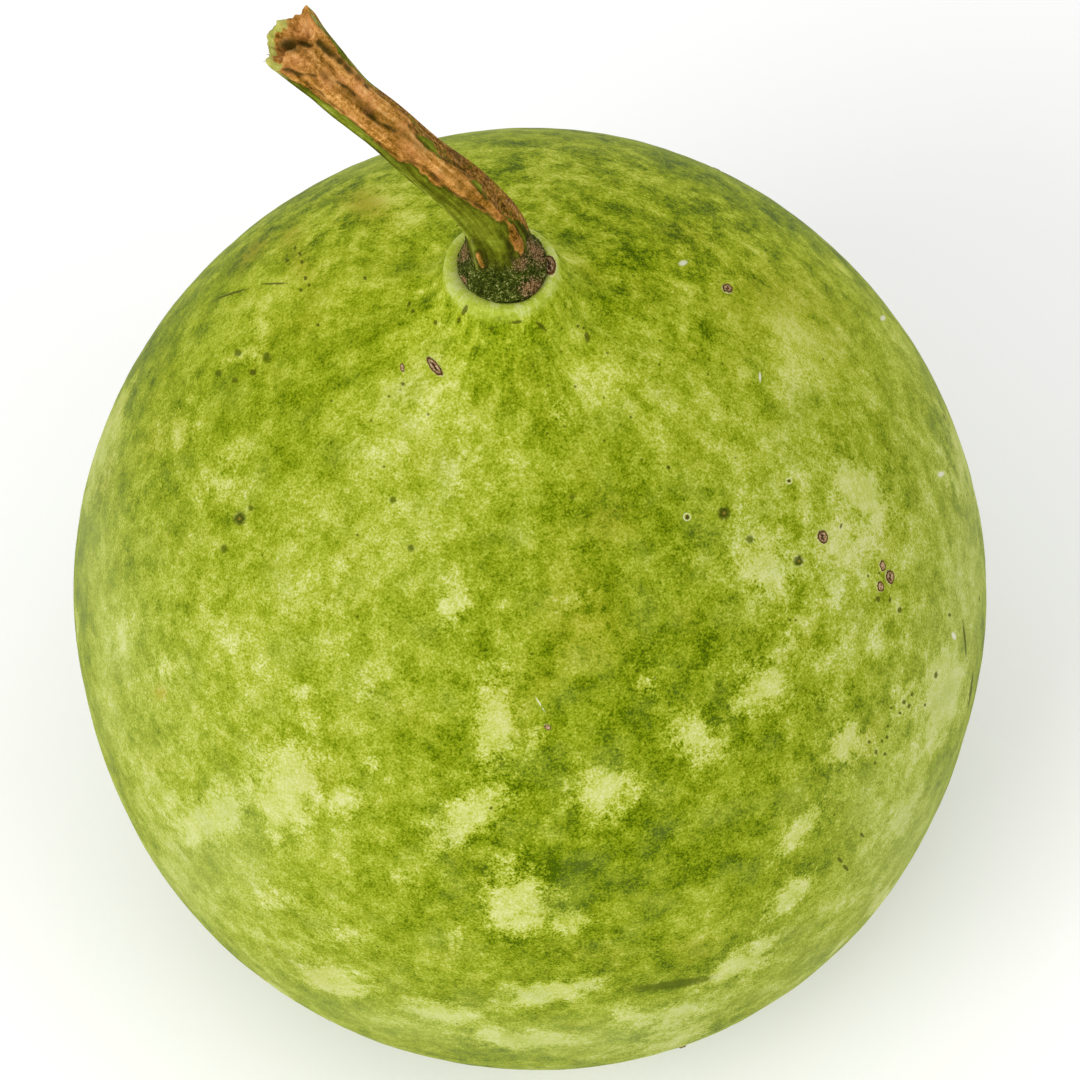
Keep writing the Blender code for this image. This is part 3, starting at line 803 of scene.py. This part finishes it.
def unseen_frame(tree, rng):
    """A point of the skin, drawn by chance, that the photograph doesn't show, and rows as above."""
    while True:
        angle = rng.uniform(0, TURN)
        height = rng.uniform(*UNSEEN_HEIGHTS)
        start = Vector((UNSEEN_FROM * math.cos(angle), UNSEEN_FROM * math.sin(angle), height))
        aim = Vector((0, 0, (WIDEST_HEIGHT + height) / 2))
        centre, normal, _, _ = tree.ray_cast(start, (aim - start).normalized())
        if centre is None or normal.dot((Vector(CAMERA_PLACE) - centre).normalized()) > SEEN_FACING:
            continue
        out = Vector((centre.x + NECK_LEAN, centre.y)).length
        if centre.z < UNSEEN_LOWEST or out < COLLAR_RADIUS + UNSEEN_CLEAR:
            continue
        across = normal.orthogonal().normalized()
        across.rotate(Matrix.Rotation(rng.uniform(0, TURN), 3, normal))
        return np.array(centre), np.array((across, normal.cross(across))) * UNSEEN_PIXELS


def placed(tree, listed, rng, unseen=None):
    """(centre, rows, half width, half height, value) of the listed marks, and of some unseen ones."""
    made = []
    for x, y, wide, high, value, *tilt in listed:
        made.append((*pixel_frame(tree, x, y, sum(tilt)), wide, high, value))
    if unseen:
        count, sizes, ratios, values = unseen
        for _ in range(count):
            spot = unseen_frame(tree, rng)
            size = rng.uniform(*sizes)
            high = size * rng.uniform(*ratios)
            made.append((*spot, size, high, rng.uniform(*values) if len(values) == 2 else rng.choice(values)))
    return made


def away_from(points, mark):
    """Offsets of points from a mark, as shares of its half width and half height."""
    centre, rows, half_width, half_height, _ = mark
    return ((points - centre) @ rows.T) / np.array((half_width, half_height))


def field_of(points, marks, reach, blend):
    """The marks' values at each point, each fading out round its mark."""
    field = np.zeros(len(points))
    for mark in marks:
        share = np.sum(away_from(points, mark) ** 2, 1)
        near = smooth_step(reach, 0.7 * reach, np.linalg.norm(points - mark[0], axis=1))
        field = blend(field, near * mark[4] * np.exp(-FALL_OFF * share))
    return field


def store_marks(mesh, points, marks):
    """Keeps, at each corner of a face, the offset from the face's nearest mark, and its kind."""
    corners = np.empty(len(mesh.loops), int)
    mesh.loops.foreach_get("vertex_index", corners)
    counts = np.empty(len(mesh.polygons), int)
    mesh.polygons.foreach_get("loop_total", counts)
    middles = np.empty(3 * len(mesh.polygons))
    mesh.polygons.foreach_get("center", middles)
    middles = middles.reshape(-1, 3)
    best = np.full(len(middles), MARK_REACH)
    nearest = np.full(len(middles), -1)
    for index, mark in enumerate(marks):
        share = np.linalg.norm(away_from(middles, mark), axis=1)
        # A face counts as near when its own size is allowed for.
        share = np.where(np.linalg.norm(middles - mark[0], axis=1) < MARK_WITHIN, share, np.inf)
        share = share / (1 + FACE_PIXELS / max(mark[2], mark[3]))
        nearest = np.where(share < best, index, nearest)
        best = np.minimum(best, share)
    owner = np.repeat(nearest, counts)
    values = np.full((len(corners), 3), MARK_REACH * 10)
    for index, mark in enumerate(marks):
        mine = owner == index
        values[mine, :2] = away_from(points[corners[mine]], mark)
        values[mine, 2] = mark[4]
    store(mesh, "mark", values, "CORNER")


def make_fruit(rng):
    grid, angle, radius = fruit_grid()
    normal = outward(grid)
    height = grid[..., 2]
    rise = layered_noise(grid, SKIN_LUMPS) * smooth_step(0.0, 0.006, height)
    grid = grid + normal * (rise - SKIN_INSET * smooth_step(0.0, 0.01, height))[..., None]
    height = grid[..., 2]
    faces = grid_faces(len(grid), FRUIT_SIDES)
    points = grid.reshape(-1, 3)
    tree = BVHTree.FromPolygons(points.tolist(), faces)
    piece = new_piece("gourd_skin", points, faces, skin_material())
    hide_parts("fruit")
    mesh = piece.data
    steps = np.linalg.norm(np.diff(grid[:, 0], axis=0), axis=1)
    length = np.cumsum(np.r_[0, steps])[::-1][:, None] + 0 * angle
    swirl = angle + FLOW_TURN * length
    flow = np.stack([np.cos(swirl) * FLOW_ROUND, np.sin(swirl) * FLOW_ROUND, length * FLOW_ALONG], -1)
    store(mesh, "flow", flow.reshape(-1, 3))
    near_neck = np.exp(-((radius - FLOW_MIDDLE) / FLOW_WIDTH) ** 2)
    near_neck = np.maximum(near_neck, FLOW_REST * smooth_step(BODY_RADIUS, 0.060, radius))
    on_lip = smooth_step(RIM_CENTRE.z - 0.0036, RIM_CENTRE.z - 0.0010, height) * (radius > SOCKET_RADIUS)
    blossom = smooth_step(1.4 * BLOSSOM_RADIUS, 0.5 * BLOSSOM_RADIUS, radius) * (height < BLOSSOM_DEPTH * 1.5)
    seen = smooth_step(0.0, 0.12, faces_camera(grid, normal))
    vivid = VIVID_UNSEEN + (smooth_step(*VIVID_ROWS, pixels_of(grid)[..., 1]) - VIVID_UNSEEN) * seen
    specks = SPECKS_LEAST + SPECKS_MORE * np.clip(noise_at(grid, *SPECKS_NOISE), 0, 1)
    specks = specks + SPECKS_NECK * np.exp(-((radius - SPECKS_MIDDLE) / SPECKS_WIDTH) ** 2)
    for name, values in (
        ("near_neck", near_neck * (height > WIDEST_HEIGHT)),
        ("lip", on_lip),
        ("blossom", blossom),
        ("vivid", vivid),
        ("specks", specks),
    ):
        store(mesh, name, values.ravel())
    for name, listed, unseen, reach, blend in (
        ("tone", SKIN_TONES_AND_PAINTED_LIGHT, UNSEEN_TONES, 0.075, np.add),
        ("pale", PALE_BLOTCHES, UNSEEN_BLOTCHES, 0.03, np.maximum),
        # Painted sheen towards the outline.
        ("edge_sheen", EDGE_SHEEN_PATCHES, None, 0.06, np.maximum),
        ("lively", LIVELY_PATCHES, None, 0.06, np.maximum),
        ("warm", WARM_PATCHES, None, 0.03, np.maximum),
    ):
        listed = [(x, y, wide, high, value / 100, *tilt) for x, y, wide, high, value, *tilt in listed]
        store(mesh, name, field_of(points, placed(tree, listed, rng, unseen), reach, blend))
    marks = [(*mark[:4], kind, *mark[4:]) for kind, listed in MARKS.items() for mark in listed]
    store_marks(mesh, points, placed(tree, marks, rng, UNSEEN_MARKS))
    return tree


def scar_material():
    """Cork: beige and pink inside, with a dark rim, a pale line round that and a slit in the higher ones."""
    n = Nodes("gourd_scar", SKIN_LIGHT)
    grain = n.noise(n.place(), 2600, 3, 0.7)
    ring = n.weighed((n.attribute("ring"), 1.0), (grain, 0.35))
    colour = n.colours(n.weighed((grain, 3.2), (1.0, 0.56)), CORK_COLOURS)
    colour = n.paint(colour, n.times(n.ramp(ring, 0.56, 0.74), n.ramp(ring, 0.96, 0.86)), (84, 52, 24))
    slit = n.ramp(n.weighed((n.attribute("slit"), 1.0), (grain, 0.5)), 0.30, 0.70)
    colour = n.paint(colour, n.times(slit, 0.9), (52, 30, 14))
    colour = n.paint(colour, n.ramp(ring, 0.84, 0.94), (204, 208, 128))
    return n.finish(Base_Color=colour, Roughness=0.8, Specular_IOR_Level=0.03)


def make_scar(name, tree, mark, material):
    """A low corky scab: a rough plateau with a raised rim, its edge tucked under the skin."""
    centre, rows, half_width, half_height, height = mark
    to_metres = np.linalg.pinv(rows)
    angle = np.arange(SCAR_SIDES) * TURN / SCAR_SIDES
    circle = np.stack([np.cos(angle), np.sin(angle), 0 * angle], -1)
    uneven_edge = 1 + SCAR_UNEVEN * noise_at(circle, 0.7, 2, centre[0] * 999)
    _, facing, _, _ = tree.find_nearest(Vector(centre))
    points, ring, slit = [], [], []
    for share in np.linspace(0.04, 1.0, SCAR_RINGS):
        crest = math.exp(-((share - SCAR_CREST_AT) / SCAR_CREST_WIDTH) ** 2)
        for turn, edge in zip(angle, uneven_edge):
            offset = np.array((math.cos(turn) * half_width, math.sin(turn) * half_height)) * share * edge
            flat = Vector(centre + to_metres @ offset)
            spot, normal, _, _ = tree.find_nearest(flat)
            if height == WART_HEIGHT:
                spot, normal = flat, facing
            bumps = noise.fractal(spot / SCAR_BUMP_SIZE, 0.8, 2.0, 2)
            rise = height * (SCAR_PLATEAU + SCAR_CREST * crest + SCAR_BUMPS * bumps)
            rise *= float(smooth_step(1.0, 0.86, share))
            points.append(spot + normal * (rise - 0.00004 * float(share > 0.97)))
            ring.append(share)
            across = (math.cos(turn) * share + 0.12 * math.sin(3 * turn)) / 0.24
            slit.append((height > SLIT_FROM) * math.exp(-across ** 2 - (math.sin(turn) * share / 0.6) ** 4))
    points += [point - facing * SCAR_TUCK for point in points[-SCAR_SIDES:]]
    ring += [1.0] * SCAR_SIDES
    slit += [0.0] * SCAR_SIDES
    piece = new_piece(name, np.array(points), grid_faces(SCAR_RINGS + 1, SCAR_SIDES), material)
    store(piece.data, "ring", np.array(ring))
    store(piece.data, "slit", np.array(slit))
    turn_out(piece.data)


def turn_out(mesh):
    """Turns a closed mesh's faces outwards."""
    made = bmesh.new()
    made.from_mesh(mesh)
    bmesh.ops.recalc_face_normals(made, faces=made.faces)
    made.to_mesh(mesh)
    made.free()


def make_scars(tree, rng):
    material = scar_material()
    for index, mark in enumerate(placed(tree, SCARS + (WART,), rng, UNSEEN_SCARS)):
        make_scar(f"scar_{index + 1:02d}", tree, mark, material)


def through(points, share):
    """A point on the smooth curve through these points, from 0 at the first to 1 at the last."""
    count = len(points) - 1
    index = min(int(share * count), count - 1)
    t = share * count - index
    a, b, c, d = (Vector(points[min(max(index + k, 0), count)]) for k in (-1, 0, 1, 2))
    square, cube = 2 * a - 5 * b + 4 * c - d, 3 * b - a - 3 * c + d
    return 0.5 * (2 * b + (c - a) * t + square * t ** 2 + cube * t ** 3)


def stem_stations(count):
    """Points, directions and lengths at even steps along the stem's centre line."""
    fine = np.array([through(STEM_LINE, step / LINE_STEPS) for step in range(LINE_STEPS + 1)])
    lengths = np.r_[0, np.cumsum(np.linalg.norm(np.diff(fine, axis=0), axis=1))]
    length = np.linspace(0, lengths[-1], count)
    place, ahead, behind = (
        np.stack([np.interp(length + step, lengths, column) for column in fine.T], 1)
        for step in (0.0, AHEAD, -AHEAD)
    )
    direction = ahead - behind
    return place, direction / np.linalg.norm(direction, axis=1, keepdims=True), length


def torn_height(angle):
    """How far the torn rim stands past the stem's last even ring."""
    corner = sum(high * hump(angle, faces, width) for high, faces, width, _ in CORNERS)
    ragged = sum(share * np.sin(waves * angle + turn) for waves, turn, share in RAGGED_WAVES)
    fringe = FRINGE_HEIGHT * np.sin(FRINGE_WAVES * angle) * np.sin(5 * angle + 1.0)
    return corner + SLANT_HEIGHT * np.cos(angle - SLANT_FACES) + RAGGED_HEIGHT * ragged + fringe


def ring_radius(angle, length, whole):
    """The stem's radius, with its ribs, which deepen towards the torn end."""
    radius = np.interp(length, *zip(*STEM_SIZES))
    ribs = RIB_DEPTH * smooth_step(ROOT_LENGTH * 0.8, ROOT_LENGTH * 2, length)
    ribs = ribs * (1 + 0.3 * smooth_step(whole - 2 * TORN_LENGTH, whole, length))
    turn = angle - RIB_TWIST * length / whole
    return radius * (1 + ribs * np.cos(STEM_RIBS * turn))


def on_strip(strip, angle, length, radius):
    """How far inside a strip along the stem each point is, in metres; negative outside it."""
    starts, begins, ends = zip(*strip)
    low = np.radians(np.interp(length, starts, begins))
    high = np.radians(np.interp(length, starts, ends))
    middle, half = (low + high) / 2, (high - low) / 2
    inside = (half - np.abs(turned(angle, middle))) * radius
    return np.minimum(inside, 0.5 * (length - starts[0]))


def on_line(pixels, half_width, darkness, chain):
    """How dark a line through some pixels makes each pixel."""
    near = np.full(pixels.shape[:-1], np.inf)
    for start, end in zip(chain, chain[1:]):
        start, way = np.array(start, float), np.subtract(end, start)
        share = np.clip((pixels - start) @ way / (way @ way), 0, 1)
        near = np.minimum(near, np.linalg.norm(pixels - start - share[..., None] * way, axis=-1))
    return darkness * np.exp(-(near / half_width) ** 2)


def strongest(patches, pixels):
    """How strong the strongest of some patches is at each pixel."""
    return np.max([on_patch(pixels, *patch) for patch in patches], axis=0)


def on_patch(pixels, x, y, half_width, half_height, tilt):
    """1 in the middle of a patch round a pixel, and less towards its edge."""
    c, s = math.cos(math.radians(tilt)), math.sin(math.radians(tilt))
    across = (pixels[..., 0] - x) * c + (pixels[..., 1] - y) * s
    down = (pixels[..., 1] - y) * c - (pixels[..., 0] - x) * s
    return np.exp(-FALL_OFF * ((across / half_width) ** 2 + (down / half_height) ** 2))


def round_and_along(angle, length, fine):
    """Places for noise that is drawn out along the stem."""
    return np.stack(np.broadcast_arrays(3 * np.cos(angle), 3 * np.sin(angle), fine * length), -1)


def bare_stem():
    """The stem's points before its relief, its middle line, and what gives each point's place on it."""
    place, direction, length = stem_stations(STEM_RINGS)
    place = place + np.array(RIM_CENTRE)
    whole = length[-1]
    length = length[:, None]
    angle = (np.arange(STEM_SIDES) * TURN / STEM_SIDES)[None, :]
    first = np.array((1.0, 0.0, 0.0)) - direction * direction[:, :1]
    first /= np.linalg.norm(first, axis=1, keepdims=True)
    second = np.cross(direction, first)
    out = first[:, None] * np.cos(angle)[..., None] + second[:, None] * np.sin(angle)[..., None]
    radius = ring_radius(angle, length, whole) - lip_swell(angle) * smooth_step(*NARROWS, length)
    bulge = BULGE * hump(angle, BULGE_FACES, BULGE_WIDTH) * smooth_step(*BULGE_GROWS, length)
    bulge = bulge * (1 - BULGE_LOSS * smooth_step(whole - BULGE_ENDS, whole, length))
    lean = sum(lean * hump(angle, faces, width) for _, faces, width, lean in CORNERS)
    flare = smooth_step(whole - TORN_LENGTH, whole, length)
    radius = radius + lean * flare ** 2 + bulge
    grid = place[:, None] + out * radius[..., None]
    grid = grid + direction[:, None] * (torn_height(angle) * flare)[..., None]
    return grid, place, direction, out, angle, length, radius


def torn_face(angle, last, direction, out, radius):
    """The torn end's rings, from the rim into its hollow, with their shares of the radius and the lump."""
    steps = np.linspace(0, len(HOLLOW_RINGS) - 1, HOLLOW_STEPS)[1:]
    columns = (np.interp(steps, range(len(HOLLOW_RINGS)), column)[:, None] for column in zip(*HOLLOW_RINGS))
    inward, kept, depth = columns
    lump = hump(angle, LUMP_FACES, LUMP_WIDTH) * np.exp(-((inward - LUMP_AT) / LUMP_REACH) ** 2)
    rise = torn_height(angle) * kept - depth + LUMP_HEIGHT * lump
    face = last + out * (radius * inward)[..., None] + direction * rise[..., None]
    rough = layered_noise(face, FACE_GRAINS) * smooth_step(1.0, 0.93, inward)
    return face + direction * rough[..., None], inward, lump


def make_stem():
    grid, place, direction, out, angle, length, radius = bare_stem()
    whole = length[-1]
    pixels = pixels_of(grid)
    facing = faces_camera(grid, out)
    seen = smooth_step(0.0, 0.3, facing)
    sway = np.stack([noise_at(grid, *layer) for layer in SWAY_NOISES], -1)
    cracks_and_shade = seen * np.max([on_line(pixels + CRACK_SWAY * sway, *line) for line in CRACKS], axis=0)
    cracks_and_shade = cracks_and_shade * np.clip(0.85 + 0.7 * noise_at(grid, *CRACK_NOISE), 0.0, 1.0)
    green = seen * strongest(GREEN_PATCHES, pixels)
    ridge = seen * on_line(pixels, *ROOT_RIDGE)
    wander = layered_noise(grid, STRIP_WANDER)
    bark, small, brown, back = (
        on_strip(strip, angle, length, radius) for strip in (BARK_STRIP, SMALL_STRIP, BROWN_STRIP, BACK_STRIP)
    )
    bark = np.maximum(bark, small) + wander - GREEN_IN_BARK * green
    bark = np.maximum(bark, 0.0007 * seen * on_line(pixels, *ROOT_STRIP) - 0.0005)
    brown = smooth_step(-0.0003, 0.0004, brown + wander - GREEN_IN_BROWN * green)
    either = np.maximum(bark, back + 2 * wander)
    dried = smooth_step(-0.0004, 0.0004, either)
    border = np.exp(-((either + 0.00025) / 0.0003) ** 2)
    root_edge = ROOT_FADES + ROOT_EDGE * noise_at(grid, *ROOT_EDGE_NOISE)
    root = smooth_step(root_edge + 0.0010, root_edge - 0.0066, length) * (1 - ridge)
    fibres = noise_at(round_and_along(angle, length, 60), *FIBRE_NOISE)
    relief = (
        FIBRE_RELIEF * fibres
        + dried * (BARK_RISE + BARK_FIBRES * fibres + layered_noise(grid, BARK_GRAINS))
        - BORDER_DEPTH * border
        - CRACK_DEPTH * cracks_and_shade
        + RIDGE_RISE * ridge
        + root * layered_noise(grid, ROOT_GRAINS)
    )
    grid = grid + out * (relief * smooth_step(0.002, 0.006, length))[..., None]
    worn = length + WORN_EDGE * noise_at(grid, *WORN_NOISE)
    face, inward, lump = torn_face(angle, place[-1], direction[-1], out[-1], radius[-1])
    face_pixels = pixels_of(face) + FACE_SWAY * noise_at(face, *FACE_NOISE)[..., None]
    rim_green = smooth_step(0.70, 0.84, inward + RIM_EDGE * noise_at(face, *RIM_NOISE))
    rim_green = rim_green * smooth_step(0.1, 0.5, np.cos(angle - RIM_GREEN_FACES))

    points = np.concatenate([grid, face])
    piece = new_piece("gourd_stem", points, grid_faces(len(points), STEM_SIDES), stem_material())
    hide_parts("stem")
    along = round_and_along(angle, length, 45)
    along = np.concatenate([along, np.repeat(along[-1:], len(face), axis=0) * inward[..., None]])
    store(piece.data, "along", along.reshape(-1, 3))
    for name, on_side, on_face in (
        ("dried", dried, 1 - rim_green),
        ("brown", brown, 0),
        # Cracks, and painted shade: the shadow under the lump and the hollow in the torn face.
        ("cracks_and_shade", np.maximum(cracks_and_shade, 0.6 * border), 1.1 * strongest(HOLLOW_PATCHES, face_pixels)),
        # Painted shade: the green darker beside the bark strips.
        ("shade", np.exp(np.minimum(bark, 0.0) / 0.0008) * (1 - dried), 0),
        ("root", root, 0),
        # Painted shade: the stem's green darker towards its root.
        ("root_shade", smooth_step(root_edge + 0.0038, root_edge - 0.0030, length) * (1 - ridge), 0),
        ("ridge", ridge, 0),
        ("bright", seen * strongest(BRIGHT_PATCHES, pixels), strongest(BRIGHT_PATCHES, face_pixels)),
        ("pink", smooth_step(-0.5, 0.0, facing) * strongest(ROOT_PATCHES, pixels), 0.35 * lump),
        ("worn", smooth_step(whole - 0.0042, whole - 0.0010, worn), 1),
    ):
        sides = on_side + 0 * angle
        ends = on_face + np.zeros((len(face), STEM_SIDES))
        store(piece.data, name, np.concatenate([sides, ends]).ravel())
    make_fibres(grid[-1], direction[-1], out[-1])


def make_fibres(rim, direction, out):
    """Short loose fibres that stand from the torn rim."""
    points, faces = [], []
    for turn, length, thick, lean in FIBRES:
        k = int(round(turn / 360 * STEM_SIDES)) % STEM_SIDES
        root = rim[k] - direction * FIBRE_ROOT[0] - out[k] * FIBRE_ROOT[1]
        tip = root + (direction * (1 - lean) + out[k] * lean) * length
        side = np.cross(direction, out[k])
        start = len(points)
        for share in (0.0, 0.5):
            for spin in np.arange(FIBRE_SIDES) * TURN / FIBRE_SIDES:
                spoke = (side * math.cos(spin) + out[k] * math.sin(spin)) * thick * (1 - 0.6 * share)
                points.append(root + (tip - root) * share + spoke)
        points.append(tip)
        ring = list(range(start, start + FIBRE_SIDES))
        for here, after in zip(ring, ring[1:] + ring[:1]):
            faces.append((here, after, FIBRE_SIDES + after, FIBRE_SIDES + here))
            faces.append((FIBRE_SIDES + here, FIBRE_SIDES + after, start + 2 * FIBRE_SIDES))
        faces.append(ring[::-1])
    n = Nodes("gourd_fibre", STEM_LIGHT)
    colour = n.colours(n.weighed((n.noise(n.place(), 1800, 3, 0.6), 1.5), (1.0, 0.5)), STEM_COLOURS)
    material = n.finish(Base_Color=colour, Roughness=0.8)
    turn_out(new_piece("stem_fibres", np.array(points), faces, material).data)


def stem_material():
    """Green stalk with dried, granular strips, dark cracks, a speckled root and a torn end, with painted
    shade beside the strips, under the torn end's lump, in its hollow and towards the root.
    """
    n = Nodes("gourd_stem", STEM_LIGHT)
    place = n.place()
    patches = n.noise(place, 420, 4, 0.6)
    grain = n.noise(place, 1700, 4, 0.7)
    fine = n.noise(place, 3800, 2, 0.7)
    lines = n.noise(n.attribute("along", "Vector"), 1.3, 5, 0.6)
    ragged = n.weighed((grain, 0.7), (fine, 0.4))

    def edged(name, uneven, low, high):
        """Where an attribute holds, with a ragged edge."""
        return n.ramp(n.weighed((n.attribute(name), 1.0), (ragged, uneven)), low, high)

    # Painted shade darkens the green beside the bark strips and towards the root.
    shades = n.weighed((n.attribute("shade"), -0.46), (n.attribute("root_shade"), -0.32), (1.0, 0.72))
    green = n.weighed((lines, 1.6), (patches, 0.9), (fine, 0.7), (shades, 1.0))
    colour = n.colours(green, STEM_COLOURS)
    worn = n.times(n.attribute("worn"), n.weighed((patches, 1.4), (grain, 1.2), (1.0, 0.62)))
    colour = n.paint(colour, worn, (196, 190, 104))
    colour = n.paint(colour, n.times(n.attribute("ridge"), 0.45), (176, 180, 96))
    bright = n.attribute("bright")
    bark = n.weighed((lines, 1.5), (patches, 1.2), (grain, 1.15), (fine, 0.9), (bright, 0.26), (1.0, 0.475))
    rosy = n.weighed((n.ramp(n.noise(place, 260, 3, 0.6), 0.0, 0.25), 0.35), (bright, 0.35))
    tan = n.paint(n.colours(bark, BARK_COLOURS), rosy, (190, 122, 76))
    brown = n.colours(n.weighed((bark, 0.9), (grain, 1.9), (1.0, 0.02)), BARK_COLOURS)
    brown = n.paint(brown, n.times(n.ramp(patches, -0.10, 0.22), 0.85), (62, 46, 22))
    brown = n.paint(brown, n.times(n.ramp(patches, -0.02, -0.20), 0.6), (134, 132, 44))
    colour = n.mix(edged("brown", 1.2, 0.35, 0.65), colour, brown)
    colour = n.mix(edged("dried", 1.3, 0.22, 0.78), colour, tan)
    root = n.colours(n.weighed((fine, 1.7), (grain, 1.7), (patches, 0.9), (1.0, 0.46)), ROOT_COLOURS)
    cork = n.colours(n.weighed((fine, 2.6), (grain, 1.6), (1.0, 0.22)), CORK_COLOURS)
    root = n.mix(edged("pink", 3.6, 0.35, 0.95), root, cork)
    colour = n.mix(edged("root", 1.1, 0.15, 0.85), colour, root)
    # Cracks and painted shade, painted dark.
    colour = n.paint(colour, n.times(edged("cracks_and_shade", 0.9, 0.08, 0.95), 0.92), (54, 46, 10))
    relief = n.bump(n.weighed((grain, 1.0), (fine, 0.6), (lines, 0.6)), 0.5, 0.0002)
    return n.finish(Base_Color=colour, Roughness=0.8, Normal=relief, Specular_IOR_Level=0.03)


def add_light(name, place, aim, size, power):
    """A square soft light at a place, turned to a point."""
    data = bpy.data.lights.new(name, "AREA")
    data.shape = "SQUARE"
    data.size = size
    data.energy = power
    light = bpy.data.objects.new(name, data)
    light.location = place
    light.rotation_euler = (Vector(aim) - Vector(place)).to_track_quat("-Z", "Y").to_euler()
    bpy.context.scene.collection.objects.link(light)


def make_studio():
    """A pale floor, an even white surround, two soft lights and the camera."""
    floor_mesh = bpy.data.meshes.new("floor")
    corners = [(x * FLOOR_HALF, y * FLOOR_HALF, 0) for x, y in ((-1, -1), (1, -1), (1, 1), (-1, 1))]
    floor_mesh.from_pydata(corners, [], [(0, 1, 2, 3)])
    n = Nodes("floor")
    floor_mesh.materials.append(n.finish(Base_Color=FLOOR_COLOUR, Roughness=0.9, Specular_IOR_Level=0.0))
    floor = bpy.data.objects.new("floor", floor_mesh)
    bpy.context.scene.collection.objects.link(floor)
    world = bpy.data.worlds.new("surround")
    world.use_nodes = True
    surround = world.node_tree.nodes["Background"].inputs
    surround["Color"].default_value = (1.0, 1.0, 1.0, 1.0)
    surround["Strength"].default_value = SURROUND_STRENGTH
    bpy.context.scene.world = world
    middle = (0.0, 0.0, WIDEST_HEIGHT)
    for name, place, power in LIGHTS:
        add_light(name, place, middle, LIGHT_SIZE, power)
    data = bpy.data.cameras.new("camera")
    data.sensor_width = SENSOR
    data.lens = SENSOR * LENS_PIXELS / PHOTO_SIZE
    data.clip_start, data.clip_end = 0.05, 20.0
    camera = bpy.data.objects.new("camera", data)
    camera.location = CAMERA_PLACE
    camera.rotation_euler = (math.pi / 2 - CAMERA_PITCH, 0.0, 0.0)
    bpy.context.scene.collection.objects.link(camera)
    bpy.context.scene.camera = camera
    bpy.context.scene.view_settings.view_transform = "Standard"


make_studio()
chance = np.random.default_rng(UNSEEN_SEED)
skin_tree = make_fruit(chance)
make_scars(skin_tree, chance)
make_stem()
